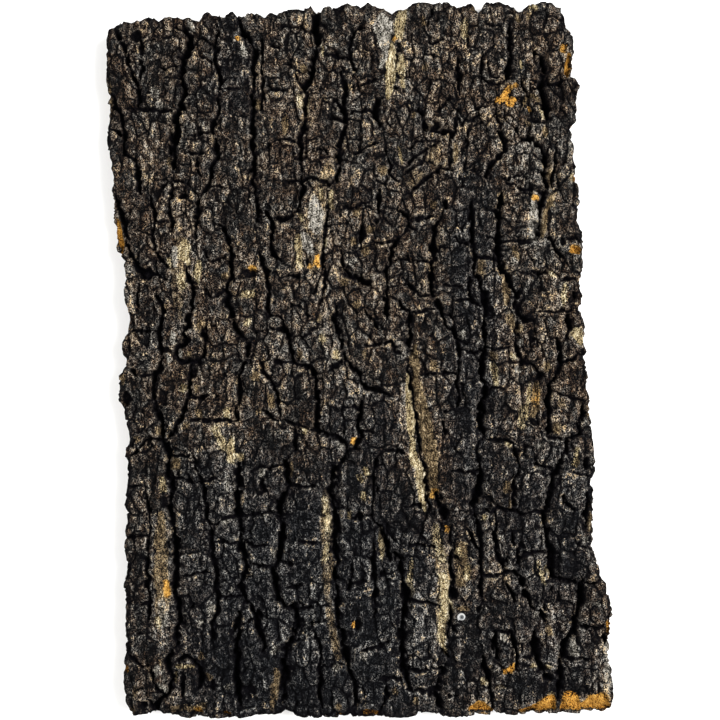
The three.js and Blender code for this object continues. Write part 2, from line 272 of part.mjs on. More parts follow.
const CRACKS = [
  [1.6, -138.3, 203, -131.2, 205.2],
  [1.6, -150, 161, -140, 161, -130, 159.8, -118.5, 160.2],
  [1.6, -127, 186.8, -114, 188],
  [1.8, -105.3, 193.5, -100, 193.5, -95.3, 191.4, -92.8, 190.6],
  [1.6, -102, 206, -95.3, 202.7, -92, 202.3],
  [1.6, -109.5, 143.5, -103.7, 144.8, -95.3, 145.4],
  [1.6, -112.8, 132.7, -106.2, 131.8, -100, 132.7],
  [1.6, -105.3, 128.5, -104.5, 121.8, -102, 117.7],
  [1.6, -97, 111, -92, 111.4, -86.2, 110.2],
  [1.6, -88, 173.5, -79.5, 173.5],
  [1.6, -120, 116, -112.8, 114.3],
  [1.6, -61, 175, -53, 174, -47.8, 172.7],
  [1.6, -59.5, 136, -55.3, 140.2, -47.8, 141.8, -39, 140],
  [1.5, -58, 201, -51, 200],
  [1.6, -50, 189, -45, 189.5, -42, 183, -36, 175],
  [1.5, -50, 214, -43, 213.5, -38, 214],
  [1.6, -23.3, 167.7, -18.3, 168, -15, 166],
  [1.6, -20, 154.3, -8.8, 153.9],
  [1.6, -5, 158.5, 0, 159.8, 10, 160.2],
  [1.7, -4.2, 175.6, 1.7, 176.4, 6.7, 178.9, 10, 180.2],
  [1.6, -37.5, 131.8, -30, 134.3, -23.3, 135.2, -20, 132.7],
  [1.8, -47.5, 114.3, -40, 115.2, -30, 116.8, -25, 115.2, -18.3, 112.7],
  [2.2, 3.3, 213, -1.7, 211.4, -5, 206.8, -6.7, 199.3, -5.8, 193.5, -3.3, 187.7],
  [1.6, 42.5, 204.3, 48.3, 203.5, 53.3, 205.2],
  [1.6, 70, 152.7, 75.8, 156.8],
  [1.6, 95.8, 116.8, 101.7, 118.5],
  [1.8, -35.4, 172.7, -34.6, 160.2, -35.4, 153],
  [1.6, -62.8, 205, -62.5, 190, -62.8, 175, -63, 160],
  [1.8, 15.4, 153.5, 20, 150.2, 24.2, 153.5],
  [1.6, -3.3, 131.8, 6.7, 137.7, 10.8, 139.3],
  [2, 14.2, 136, 16.7, 131, 20, 125.2, 19.2, 118.5, 24.2, 114.3],
  [2, 30, 165.2, 31.7, 160.2],
  [2, 31.7, 126.8, 36.7, 131, 41.7, 135.2, 47.5, 138.5],
  [2.2, 57.5, 138, 56.7, 126, 58.3, 121.8],
  [2, 46.7, 226, 45, 220.2, 42.5, 214.3],
  [1.6, 46.3, 199.3, 46.7, 193.5],
  [2, 62.9, 194.3, 63.8, 177.7, 62.9, 171],
  [1.8, 77.5, 199.3, 78.3, 182.7, 80.8, 178.5, 85, 176.8, 91, 176.5],
  [1.8, 81.7, 215.2, 86.7, 213.9, 95, 213],
  [2.2, 102.5, 179.3, 105, 173.5, 107.5, 169.3],
  [1.8, 117, 176.8, 125, 176.4, 131.7, 179.3],
  [2, 125, 135.2, 125.8, 126.8, 124.2, 118.5, 123.3, 111],
  [2, -120.2, 114, -121.6, 104, -121.6, 95.2, -120.3, 85.2],
  [2.2, -134, 104, -132.8, 97.7, -131.2, 89.3, -132.4, 80.2, -131.6, 72.7, -130, 67,
    -126.2, 62.7, -123, 60],
  [1.6, -144.5, 83, -138.7, 81.8, -132.4, 80.2],
  [1.8, -131, 89, -120.8, 88.5],
  [1.6, -142, 48.5, -142.8, 34.3],
  [1.8, -147, 19.3, -139.5, 18, -128.7, 19],
  [1.7, -140.3, -9.8, -132, -10.7],
  [1.6, -97.8, 23.5, -91.2, 21.8],
  [1.7, -99.5, 71, -98.7, 66, -94.5, 63, -90.3, 64.3, -83.5, 68],
  [2, -100.3, 44.8, -94.5, 40.2, -90.3, 41.8, -85.5, 46],
  [1.8, -110.3, -24.8, -102.8, -24.4, -97, -22.3, -91.2, -23.6],
  [1.8, -112, -38.2, -102, -38.2, -96.2, -39.4, -89.5, -39.4, -79.5, -39],
  [1.8, -122, -75.7, -112.8, -76, -105.3, -78.6, -101.2, -77.8, -96.2, -76, -90.3, -75.3],
  [1.6, -121, -61.5, -113.7, -62.3, -107, -61],
  [1.6, -118, -138, -109.5, -138.2, -100.3, -136, -96, -137.5],
  [1.8, -96, -104.8, -89.5, -104.4, -85.3, -100.7, -77, -99],
  [1.7, -94.5, -116, -87, -116, -77.5, -117.3],
  [1.8, -91, -151.2, -85.5, -152, -75, -150.5],
  [1.6, -78, -169.7, -66, -165],
  [1.8, -113.2, -199.7, -113.9, -214.3],
  [1.7, -148, -80.7, -138.7, -80.7],
  [1.6, -148, -113.2, -141.2, -114, -135.3, -113.2],
  [1.6, -140, -156.6, -133.2, -154.3],
  [1.8, -143.2, -175.8, -133.2, -174.3],
  [2.2, -148.5, -189, -143.9, -193.5, -140, -196.2, -133.2, -195.8, -123.2, -193],
  [2.2, -136, -88, -134.5, -99.8, -134.9, -116.5, -136.2, -126.6, -136.2, -137.4,
    -135, -149, -134.5, -165],
  [2.2, -66.2, 17.7, -61.2, 19.3, -47.7, 19.5],
  [1.8, -58.3, 28.5, -51.7, 27.7, -48.8, 24],
  [1.8, -55, -1.5, -43.3, -1],
  [2, -63.7, -1.5, -61.2, -8.2, -57, -13.2, -54.5, -19, -52, -24, -51.2, -38.2],
  [1.8, -63, -33, -55, -38.2, -49.2, -39.4, -41.7, -40.7, -35.8, -43.2, -28, -45],
  [2, -69.5, -70.7, -63.7, -69, -52.8, -68.2, -47.5, -67],
  [1.6, -76, -98.5, -67, -99, -59.5, -97.8, -51.7, -96.5],
  [1.8, -77, -117.3, -67, -118.2, -60.3, -118.2],
  [1.6, -68.7, -130.7, -61.2, -132.3, -55, -132],
  [1.6, -45, -80.7, -35.8, -81, -27.5, -80.7],
  [1.6, -40, -116, -34.2, -116.5, -28.3, -117],
  [1.6, -51, -129, -40.8, -130.7, -37, -130],
  [1.6, -46.2, -145.8, -36.9, -145],
  [1.8, -41, -159.7, -35.4, -159.3, -30.8, -158.2],
  [1.8, -30.8, -169.7, -26.2, -168.2, -23, -166.6],
  [2.3, -28.5, -175.8, -25.4, -183.5, -24.6, -191.2, -26.2, -197, -24.6, -206.6,
    -26.2, -214.3, -25, -222],
  [2, -26.2, -197, -21.5, -196.2, -17, -195, -8, -195],
  [1.6, -20, 104.3, -20.8, 97.7, -21.7, 81, -23.3, 72.7, -23.8, 64.3, -22.5, 56,
    -23.3, 46, -24.2, 40.2, -26.7, 35.2],
  [1.6, -49.2, 52.7, -44.2, 54.3, -38, 54],
  [1.6, -44.2, 35.2, -40, 35.2, -35.8, 31, -33, 28],
  [1.7, -37.5, 14.3, -32.5, 17.7, -26.7, 21, -24, 21.5],
  [1.6, -10.8, 96.8, -1.7, 98.5, 3.3, 101, 11, 101],
  [1.6, -11.7, 72.7, -11.7, 64.3, -10.8, 58.5],
  [1.6, 0.8, -45.5, 9.2, -46.1],
  [2.2, -10, -42.3, -11, -50],
  [1.6, -10, -30.3, 0.5, -29.8],
  [1.6, 13.3, -59.4, 20, -58.6, 28.3, -59.4],
  [2, -4.6, -129.7, -5.4, -137.4, -7, -147.4],
  [2, -5, -143.9, 1.5, -142.4, 9.4, -141.2],
  [1.9, 0.8, -186.2, 7.7, -184.7, 13.8, -182.8, 19.2, -180],
  [1.8, 13.8, -205, 20.8, -204, 28, -205.8],
  [2, 7.5, 76.8, 12.5, 74.3, 17.5, 75.2, 22.5, 76],
  [2, 27.5, 80, 31, 85, 32, 90, 38.3, 91, 48, 92],
  [2.2, 3.3, 31, 8.3, 25.2, 13.3, 18.5],
  [1.6, 0.8, 9.3, 9.2, 10.2, 20, 11, 23.3, 5.2, 28.3, 3.5],
  [1.7, 20, 63.5, 30.8, 65.2, 35.8, 63.5, 46, 62],
  [2.2, 29.2, 48.5, 35.8, 43.5, 39.2, 41, 45, 41.8],
  [1.7, 32, 31, 40, 31, 51, 33],
  [1.6, 31, -5, 32.1, -14, 35.4, -34, 36.3, -44],
  [2.3, 36.3, -44, 37.5, -52.3, 38.8, -60.7, 40.8, -68.2, 42.5, -77.3, 42.9, -87.3,
    45.4, -98],
  [1.6, 40, -9, 48.3, -8.2, 62, -8.2],
  [1.8, 25, -94, 31.7, -94, 42, -92.3],
  [1.6, 30.8, -118.2, 39.2, -118.2, 46.7, -119],
  [2.2, 30.8, -154.3, 37, -154, 41.5, -155, 45.4, -155.5],
  [2, 30, -199.7, 39.2, -199.3, 45.4, -197.4, 52, -199],
  [2.2, 30.8, -212, 40.8, -211.6, 46, -212],
  [2, 52, -185.8, 56.5, -190.5],
  [1.8, 54.2, -32.8, 60.8, -32],
  [2, 53.3, -39.8, 54.6, -47.3],
  [1.8, 60, -71, 70.8, -71.5, 77, -70],
  [2.2, 58.3, -105.7, 57.9, -114, 58.3, -122.3, 58.2, -130.7, 60.4, -145.8, 60, -153],
  [1.7, 60.8, 78.5, 65.8, 75.2, 72, 74.8],
  [1.8, 79.8, -48.2, 76, -54, 75, -60, 77.5, -70.7],
  [1.6, 70.8, 52.7, 70, 44.3, 70.8, 40.2],
  [1.7, 53.8, 48.5, 59.2, 46.8, 65, 46.8],
  [1.8, 62, 38.5, 71.7, 38.5, 79.5, 33],
  [1.7, 64, 6.8, 70.8, 5.6, 79.5, 5.6],
  [2, 73.7, 66, 80.8, 65.6, 89, 64],
  [1.6, 82.5, 96.4, 90, 96],
  [1.6, 80.8, 79.3, 88, 77],
  [2, 80.8, 8.5, 86.7, 6.8, 94.2, 7.7, 100.5, 8.5],
  [1.6, 81, -18.2, 89.2, -16.5],
  [2.3, 79.8, -50.3, 89.2, -51.1, 98.3, -52.3, 99.2, -55.7],
  [2.1, 99.2, -131, 102.5, -126.5, 105, -123.2, 110.8, -122.8, 121.5, -124],
  [2.3, 78, -137.8, 88, -137.4, 92.7, -136.2, 98.8, -135.8, 103.5, -139, 105, -147.4],
  [2.1, 87, -174.7, 98, -174.3],
  [1.7, 57.3, -215, 64.2, -215],
  [2, 132, 77.7, 140, 78.3],
  [1.9, 89, 76, 98.3, 76.8, 105, 75.6, 113, 77.5],
  [1.7, 128.3, 51, 139, 51.8],
  [1.7, 114.2, 31, 126.7, 31, 137, 32],
  [1.6, 123, -20.5, 133.3, -23.2, 142.5, -25.7],
  [2, 120.8, -49.5, 133.3, -50.7],
  [2.2, 124.2, -140, 128, -140.5, 133.5, -142, 139.6, -142, 151, -143.5],
  [1.6, 136.7, -72.3, 146, -74],
  [2, 144.5, -60, 145, -69],
  [1.6, 139.2, -118.2, 145.5, -120.2],
  [2, 123.5, -143, 121, -150, 118, -160],
  [2.3, 137.5, -170.5, 150.4, -171.2, 156, -172],
  [1.6, 130, -190.6, 140.4, -191.2, 147, -191],
];

// Pockets where a piece of bark is gone: x, y, half width, half length, depth.

const POCKETS = [
  [-143.5, 207, 4, 4, 5], [-88, 178, 2.5, 3, 6], [-126, 112, 2.6, 2.2, 5],
  [-112.5, 105, 3.2, 2.4, 6], [-135.5, 55.2, 5, 3, 8], [-71.5, 54.5, 5.5, 3, 6],
  [-150, -24.5, 4, 5.5, 9], [-145.5, -7, 2.5, 4.5, 8], [-126.5, -26, 4, 6, 4],
  [-110, 25, 3.2, 4, 7], [-124, 6.8, 3.8, 2.6, 6], [-107, -8, 3, 7, 5],
  [-62, -80.5, 2.8, 6, 4], [-125, -91, 4, 3.6, 4], [-107.5, -158.5, 3.6, 3.2, 5],
  [-93, -208.5, 5, 3.4, 5], [-94.7, -177, 4, 3, 4], [-71, -213, 6, 4.5, 4],
  [-139, -221, 6, 2.2, 6], [-2, -170, 2, 4.5, 5], [8.5, -126, 3, 4.5, 4],
  [64, 154, 4, 5, 6], [48.5, 151, 5, 3.4, 6], [55.2, 99, 2, 4.2, 7], [111, 156, 5, 5, 4.5],
  [101.5, 32, 3.4, 4.6, 5], [110, 12, 3.5, 7, 4.5], [114.5, -12, 4, 3.6, 7],
  [98.3, -4.8, 2, 2, 4], [105, -60, 4.5, 9, 3.5], [93, -86.5, 2.8, 1.8, 3.5],
  [103.3, -119, 2, 2, 4], [103.7, -140.5, 3, 2.6, 6], [106, -191.5, 3.2, 2.2, 6],
  [107.5, -72.3, 2.2, 2, 5], [112, -40, 3, 2.6, 5], [147, -115.5, 1.8, 2.4, 3],
  [62, -126.5, 1.8, 1.8, 3.5], [60, -149.5, 2.4, 4.6, 5], [75.8, -159, 2.6, 2.6, 5],
  [54, -199.5, 4.5, 4.5, 9], [47, -212, 4.4, 5, 8], [60.5, -173, 3.4, 4, 5],
  [-12, 13, 2.2, 5, 8], [130, 75, 3, 3, 4],
];

// Even, repeatable roughness: a whole-number hash, then smooth noise between
// the corners of a square lattice, from -1 to 1.

function hash(i, j, layer) {
  let n = Math.imul(i, 374761393) ^ Math.imul(j, 668265263) ^ Math.imul(layer, 362437);
  n = Math.imul(n ^ (n >>> 13), 1274126177);
  return ((n ^ (n >>> 16)) >>> 0) / 2147483648 - 1;
}

function noise(x, y, cell, layer) {
  const i = Math.floor(x / cell);
  const j = Math.floor(y / cell);
  const u = THREE.MathUtils.smoothstep(x / cell - i, 0, 1);
  const v = THREE.MathUtils.smoothstep(y / cell - j, 0, 1);
  const low = THREE.MathUtils.lerp(hash(i, j, layer), hash(i + 1, j, layer), u);
  const high = THREE.MathUtils.lerp(hash(i, j + 1, layer), hash(i + 1, j + 1, layer), u);
  return THREE.MathUtils.lerp(low, high, v);
}

function pairs(numbers) {
  const points = [];
  for (let i = 0; i < numbers.length; i += 2) {
    points.push([numbers[i], numbers[i + 1]]);
  }
  return points;
}

const outline = pairs([...TOP_EDGE, ...RIGHT_EDGE, ...BOTTOM_EDGE, ...LEFT_EDGE]);

// A wide furrow is a deep one.

const lines = [...FURROWS, ...CRACKS].map(([width, ...numbers]) => ({
  width,
  depth: Math.min(MAX_FURROW_DEPTH, LEAST_FURROW_DEPTH + DEPTH_PER_WIDTH * width),
  path: pairs(numbers),
}));

function distanceToSegment(x, y, [ax, ay], [bx, by]) {
  const dx = bx - ax;
  const dy = by - ay;
  const t = THREE.MathUtils.clamp(((x - ax) * dx + (y - ay) * dy) / (dx * dx + dy * dy), 0, 1);
  return Math.hypot(x - ax - t * dx, y - ay - t * dy);
}

// How far furrows, cracks and pockets cut down at a place. A wall rises from
// the floor over the furrow's half width and its shoulder.

function cutDepth(x, y) {
  let cut = 0;
  for (const { width, depth, path } of lines) {
    for (let i = 1; i < path.length; i++) {
      const reach = width / 2 + SHOULDER;
      const distance = distanceToSegment(x, y, path[i - 1], path[i]);
      if (distance < reach) {
        const wall = THREE.MathUtils.smoothstep(reach - distance, 0, reach * WALL_SHARE);
        cut = Math.max(cut, depth * wall);
      }
    }
  }
  for (const [px, py, halfWidth, halfLength, depth] of POCKETS) {
    const across = Math.hypot((x - px) / halfWidth, (y - py) / halfLength);
    cut = Math.max(cut, depth * THREE.MathUtils.smoothstep(POCKET_LIP - across, 0, POCKET_WALL));
  }
  return cut;
}

// The shelf that the snail shell lies on is level.

function shelf(x, y) {
  const away = Math.hypot(x - SHELL_PLACE[0], y - SHELL_PLACE[1]);
  return 1 - THREE.MathUtils.smoothstep(away, SHELF_RADIUS, SHELF_REACH);
}

// Height of the bark above the flat back: broad swells, plates that stand at
// unlike heights, and the cuts between them.

function barkHeight(x, y) {
  const broad = BROAD_SWELL * Math.sin(x / 41 + 0.6) * Math.cos(y / 67);
  const swell = broad + NARROW_SWELL * Math.sin(y / 29 + x / 90);
  const plates = PLATE_RISE * noise(x, y, PLATE_SIZE, 1) + LUMP_RISE * noise(x, y, LUMP_SIZE, 2);
  const height = Math.min(THICKNESS, CREST + swell + plates) - cutDepth(x, y);
  return THREE.MathUtils.lerp(height, SHELF_HEIGHT, shelf(x, y));
}

// The rim has crumbled by unlike amounts along the panel's edge.

function rimHeight(x, y) {
  const crumbled = EDGE_DROP * (0.7 + 0.6 * noise(x, y, 12, 3));
  return Math.max(LEAST_RIM, barkHeight(x, y) - crumbled);
}

// Stations along a line: places at an even step, with the way square to it.

function stations(path, step) {
  const places = [];
  for (let i = 1; i < path.length; i++) {
    const [ax, ay] = path[i - 1];
    const [bx, by] = path[i];
    const length = Math.hypot(bx - ax, by - ay);
    const count = Math.max(1, Math.round(length / step));
    for (let k = i === 1 ? 0 : 1; k <= count; k++) {
      const t = k / count;
      places.push({
        x: ax + t * (bx - ax),
        y: ay + t * (by - ay),
        side: [(by - ay) / length, (ax - bx) / length],
      });
    }
  }
  return places;
}

function isInside(x, y) {
  let inside = false;
  for (let i = 0, j = outline.length - 1; i < outline.length; j = i++) {
    const [ax, ay] = outline[i];
    const [bx, by] = outline[j];
    if (ay > y !== by > y && x < ((bx - ax) * (y - ay)) / (by - ay) + ax) {
      inside = !inside;
    }
  }
  return inside;
}

// The points of the bark's surface, in order of need: the rim, the furrow
// floors, the walls' tops, then the plates. A point too near another is left out.

const surface = outline.map(([x, y]) => ({ x, y, z: rimHeight(x, y) }));

function addPoint(x, y, clearance) {
  if (!isInside(x, y)) {
    return;
  }
  for (const [index, point] of surface.entries()) {
    const least = index < outline.length ? Math.max(clearance, RIM_CLEARANCE) : clearance;
    if (Math.hypot(point.x - x, point.y - y) < least) {
      return;
    }
  }
  surface.push({ x, y, z: barkHeight(x, y) });
}

for (let turn = 0; turn < SHELF_POINTS; turn++) {
  const angle = (turn / SHELF_POINTS) * 2 * Math.PI;
  const x = SHELL_PLACE[0] + SHELF_RADIUS * Math.cos(angle);
  const y = SHELL_PLACE[1] + SHELF_RADIUS * Math.sin(angle);
  addPoint(x, y, WALL_CLEARANCE);
}
for (const { path } of lines) {
  for (const { x, y } of stations(path, FURROW_STEP)) {
    addPoint(x, y, FLOOR_CLEARANCE);
  }
}
for (const { width, path } of lines) {
  const reach = width / 2 + SHOULDER;
  for (const { x, y, side } of stations(path, FURROW_STEP)) {
    addPoint(x + side[0] * reach, y + side[1] * reach, WALL_CLEARANCE);
    addPoint(x - side[0] * reach, y - side[1] * reach, WALL_CLEARANCE);
  }
}
for (const [x, y, halfWidth, halfLength] of POCKETS) {
  addPoint(x, y, POCKET_CLEARANCE);
  for (let turn = 0; turn < POCKET_POINTS; turn++) {
    const angle = (turn / POCKET_POINTS) * 2 * Math.PI;
    const lipX = x + POCKET_LIP * halfWidth * Math.cos(angle);
    const lipY = y + POCKET_LIP * halfLength * Math.sin(angle);
    addPoint(lipX, lipY, POCKET_CLEARANCE);
  }
}
for (let row = -22; row <= 22; row++) {
  for (let column = -16; column <= 16; column++) {
    const x = (column + (row % 2) / 2 + PLATE_SCATTER * hash(column, row, 4)) * PLATE_STEP;
    const y = (row + PLATE_SCATTER * hash(column, row, 5)) * PLATE_STEP;
    addPoint(x, y, PLATE_CLEARANCE);
  }
}

// Delaunay triangles, by adding one point at a time to a triangle that is far
// larger than the panel. Each triangle keeps its circumcircle.

function triangulate(points) {
  const far = 20000;
  const all = [...points, { x: -far, y: -far }, { x: far, y: -far }, { x: 0, y: far }];
  const circled = (a, b, c) => {
    const [p, q, r] = [all[a], all[b], all[c]];
    const d = 2 * ((q.x - p.x) * (r.y - p.y) - (q.y - p.y) * (r.x - p.x));
    const qq = (q.x - p.x) ** 2 + (q.y - p.y) ** 2;
    const rr = (r.x - p.x) ** 2 + (r.y - p.y) ** 2;
    const ux = ((r.y - p.y) * qq - (q.y - p.y) * rr) / d;
    const uy = ((q.x - p.x) * rr - (r.x - p.x) * qq) / d;
    return { corners: [a, b, c], x: p.x + ux, y: p.y + uy, rr: ux * ux + uy * uy };
  };
  let triangles = [circled(points.length, points.length + 1, points.length + 2)];
  for (let index = 0; index < points.length; index++) {
    const { x, y } = points[index];
    const border = new Map();
    const kept = [];
    for (const triangle of triangles) {
      if ((triangle.x - x) ** 2 + (triangle.y - y) ** 2 >= triangle.rr) {
        kept.push(triangle);
        continue;
      }
      const [a, b, c] = triangle.corners;
      for (const [from, to] of [[a, b], [b, c], [c, a]]) {
        if (!border.delete(`${to},${from}`)) {
          border.set(`${from},${to}`, [from, to]);
        }
      }
    }
    for (const [from, to] of border.values()) {
      kept.push(circled(from, to, index));
    }
    triangles = kept;
  }
  return triangles.map(({ corners }) => corners).filter((corners) => Math.max(...corners) < points.length);
}

const barkFaces = triangulate(surface).filter(([a, b, c]) => {
  const [p, q, r] = [surface[a], surface[b], surface[c]];
  return isInside((p.x + q.x + r.x) / 3, (p.y + q.y + r.y) / 3);
});

const SIDE_ROUGHNESS = 0.4; // how far the broken side stands in or out
const SIDE_HOLLOW = 0.4; // so that it never passes the rim

// The rim runs where a bark triangle has no neighbour. Going round it with the
// bark on the left gives the sides, and below them the flat back.

function rimOf(faces) {
  const next = new Map();
  const edges = new Set(faces.flatMap(([a, b, c]) => [`${a},${b}`, `${b},${c}`, `${c},${a}`]));
  for (const edge of edges) {
    const [from, to] = edge.split(',').map(Number);
    if (!edges.has(`${to},${from}`)) {
      next.set(from, to);
    }
  }
  const rim = [next.keys().next().value];
  while (next.get(rim[rim.length - 1]) !== rim[0]) {
    rim.push(next.get(rim[rim.length - 1]));
  }
  return rim;
}

function meshOf(name, positions, faces, material) {
  const geometry = new THREE.BufferGeometry();
  geometry.setAttribute('position', new THREE.Float32BufferAttribute(positions.flat(), 3));
  geometry.setIndex(faces.flat());
  geometry.computeVertexNormals();
  const mesh = new THREE.Mesh(geometry, material);
  mesh.name = name;
  return mesh;
}

function makeBarkSlab() {
  const positions = surface.map(({ x, y, z }) => [x, y, z]);
  const faces = [...barkFaces];
  const rim = rimOf(barkFaces);
  const count = rim.length;
  const middle = positions.length;
  const bottom = middle + count;
  for (const [k, index] of rim.entries()) {
    const { x, y, z } = surface[index];
    const before = surface[rim[(k + count - 1) % count]];
    const after = surface[rim[(k + 1) % count]];
    const length = Math.hypot(after.x - before.x, after.y - before.y);
    const broken = SIDE_ROUGHNESS * noise(x, y, 6, 6) - SIDE_HOLLOW;
    const outX = ((after.y - before.y) / length) * broken;
    const outY = ((before.x - after.x) / length) * broken;
    const half = z * (0.5 + 0.08 * noise(x, y, 9, 7));
    positions[middle + k] = [x + outX, y + outY, half];
    positions[bottom + k] = [x, y, 0];
  }
  for (let k = 0; k < count; k++) {
    const after = (k + 1) % count;
    const rings = [[rim[k], rim[after]], [middle + k, middle + after], [bottom + k, bottom + after]];
    for (let ring = 0; ring < 2; ring++) {
      const [a, b] = rings[ring];
      const [c, d] = rings[ring + 1];
      faces.push([b, a, c], [b, c, d]);
    }
  }
  const back = rim.map((_, k) => new THREE.Vector2(...positions[bottom + k].slice(0, 2)));
  for (const [a, b, c] of THREE.ShapeUtils.triangulateShape(back, [])) {
    faces.push([bottom + b, bottom + a, bottom + c]);
  }
  const bark = new THREE.MeshStandardMaterial({ color: 0x4b4239, roughness: 0.95, metalness: 0 });
  return meshOf('bark_slab', positions, faces, bark);
}

// The snail shell is a tube that grows as it winds round an open middle, the
// inner turns lying lower. Each length of it is a closed body, and its end is
// the next one's start, so that they join into one. The mouth is hollow.

const TUBE_START = 0.2; // radius of the tube at the first turn
const TUBE_MOUTH = 0.92; // and at the mouth
const OPEN_MIDDLE = 0.42; // from the shell's axis to the tube's first turn
const MOUTH_LIFT = 0.7; // the mouth lies this much higher than the first turn
const TUBE_GROWTH = 1.2;
const TUBE_BORE = 0.7; // of the tube's radius, at the mouth
const SHELL_STEPS = 36; // sections from the first turn to the mouth
const SHELL_LENGTHS = 6;
const SHELL_SIDES = 8;
const MOUTH_ANGLE = -2.3; // the mouth opens to the lower left
const MOUTH_STEPS = 4;

function shellSection(step) {
  const grown = Math.pow(step / SHELL_STEPS, TUBE_GROWTH);
  return {
    radius: TUBE_START + (TUBE_MOUTH - TUBE_START) * grown,
    away: OPEN_MIDDLE + (SHELL_RADIUS - TUBE_MOUTH - OPEN_MIDDLE) * grown,
    height: MOUTH_LIFT * grown,
    angle: MOUTH_ANGLE + (step / SHELL_STEPS - 1) * SHELL_TURNS * 2 * Math.PI,
  };
}

function tubeLength(first, last, bore) {
  const vertices = [];
  const triangles = [];
  for (let step = first; step <= last; step++) {
    const { radius, away, angle, height } = shellSection(step);
    for (let side = 0; side < SHELL_SIDES; side++) {
      const around = (side / SHELL_SIDES) * 2 * Math.PI;
      const out = away + radius * bore * Math.cos(around);
      const up = height + radius * bore * Math.sin(around);
      vertices.push(out * Math.cos(angle), out * Math.sin(angle), up);
    }
  }
  for (let ring = 0; ring < last - first; ring++) {
    for (let side = 0; side < SHELL_SIDES; side++) {
      const a = ring * SHELL_SIDES + side;
      const b = ring * SHELL_SIDES + ((side + 1) % SHELL_SIDES);
      triangles.push(a, a + SHELL_SIDES, b, b, a + SHELL_SIDES, b + SHELL_SIDES);
    }
  }
  const end = (last - first) * SHELL_SIDES;
  for (let side = 1; side < SHELL_SIDES - 1; side++) {
    triangles.push(0, side, side + 1, end, end + side + 1, end + side);
  }
  return new wasm.Manifold(new wasm.Mesh({
    numProp: 3,
    vertProperties: new Float32Array(vertices),
    triVerts: new Uint32Array(triangles),
  }));
}

function makeSnailShell() {
  const perLength = SHELL_STEPS / SHELL_LENGTHS;
  let solid = tubeLength(0, perLength, 1);
  for (let length = 1; length < SHELL_LENGTHS; length++) {
    solid = solid.add(tubeLength(length * perLength, (length + 1) * perLength, 1));
  }
  solid = solid.subtract(tubeLength(SHELL_STEPS - MOUTH_STEPS, SHELL_STEPS + 1, TUBE_BORE));
  const { numProp, vertProperties, triVerts } = solid.getMesh();
  const positions = [];
  for (let i = 0; i < vertProperties.length; i += numProp) {
    positions.push([vertProperties[i], vertProperties[i + 1], vertProperties[i + 2]]);
  }
  const chalk = new THREE.MeshStandardMaterial({ color: 0xcdc8bb, roughness: 0.6, metalness: 0 });
  const mesh = meshOf('snail_shell', positions, [...triVerts], chalk);
  const lowest = Math.min(...positions.map(([, , z]) => z));
  mesh.position.set(...SHELL_PLACE, SHELF_HEIGHT + SHELL_GAP - lowest);
  return mesh;
}

const panel = new THREE.Group();
panel.add(makeBarkSlab(), makeSnailShell());

export default panel;
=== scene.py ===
"""A flattened panel of virgin cork bark with an empty snail shell on it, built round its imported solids."""

import bpy
import numpy as np
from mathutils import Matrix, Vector


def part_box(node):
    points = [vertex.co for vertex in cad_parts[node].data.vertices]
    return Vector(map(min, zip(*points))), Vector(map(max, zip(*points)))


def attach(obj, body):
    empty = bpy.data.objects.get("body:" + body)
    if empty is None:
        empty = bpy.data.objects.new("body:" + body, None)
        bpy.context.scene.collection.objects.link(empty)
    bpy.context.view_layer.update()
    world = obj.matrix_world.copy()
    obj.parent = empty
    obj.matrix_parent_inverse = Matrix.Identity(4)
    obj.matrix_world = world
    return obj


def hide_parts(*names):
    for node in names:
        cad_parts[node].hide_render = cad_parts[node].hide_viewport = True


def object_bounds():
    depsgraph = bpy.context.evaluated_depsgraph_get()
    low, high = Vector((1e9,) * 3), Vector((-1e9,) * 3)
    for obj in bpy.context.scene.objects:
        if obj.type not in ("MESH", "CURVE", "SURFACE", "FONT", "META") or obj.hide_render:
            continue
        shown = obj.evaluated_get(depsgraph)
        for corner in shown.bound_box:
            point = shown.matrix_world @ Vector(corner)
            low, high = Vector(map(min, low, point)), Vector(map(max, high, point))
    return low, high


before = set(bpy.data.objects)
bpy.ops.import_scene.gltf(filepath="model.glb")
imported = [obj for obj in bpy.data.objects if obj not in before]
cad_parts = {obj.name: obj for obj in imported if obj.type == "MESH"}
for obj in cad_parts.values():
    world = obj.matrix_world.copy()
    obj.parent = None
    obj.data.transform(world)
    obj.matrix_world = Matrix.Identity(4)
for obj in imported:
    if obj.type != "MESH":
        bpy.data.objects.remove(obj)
cad_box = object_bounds()

# Bark slab
# The outer bark of a cork oak, stripped, boiled and pressed flat, then sawn to 12 by 18 inches. The dark
# crust has torn into plates between deep furrows, and its brittle rim has broken back from the saw line.

# The outline, as x, y pairs in millimetres from the middle of the back, going round clockwise.
TOP_EDGE = [
    -160.6, 211.6, -158, 213, -155, 214, -152, 216, -149, 216.5, -145, 216, -141, 216, -138, 218, -135, 219.5,
    -132, 219, -129, 216.5, -125, 218, -119, 219.5, -115, 219, -110, 218, -106, 216, -103, 216, -101, 221,
    -97, 221.8, -94, 219, -91, 220.5, -88, 219, -85, 221, -82, 222, -79.5, 219.5, -74, 220, -69, 221.5, -65,
    220.5, -61, 217, -58, 220.5, -54, 222, -49, 222.5, -46, 224, -43, 224.5, -38, 224, -34, 226.5, -31, 225.5,
    -29, 223.5, -26, 222.5, -24, 224.5, -20, 225, -13, 226, -10, 228, -7, 227, -2, 226.5, 2, 225, 4, 228, 8,
    226.5, 14, 225, 17, 222, 20, 221, 24, 222.5, 29, 224, 33, 227, 37, 229, 42, 229, 46, 227.5, 50, 229, 56,
    229.5, 59.5, 226.8, 62, 224.8, 66, 226, 72, 227.3, 75.5, 222, 78, 224.5, 81, 227.7, 85, 227.7, 89, 229.5,
    95, 227.7, 99, 224.8, 100.4, 221.8, 103.3, 222.3, 106, 225.2, 110, 227.3, 116, 228.5, 122.5, 227.7, 125,
    226, 128.3, 224.8,
]
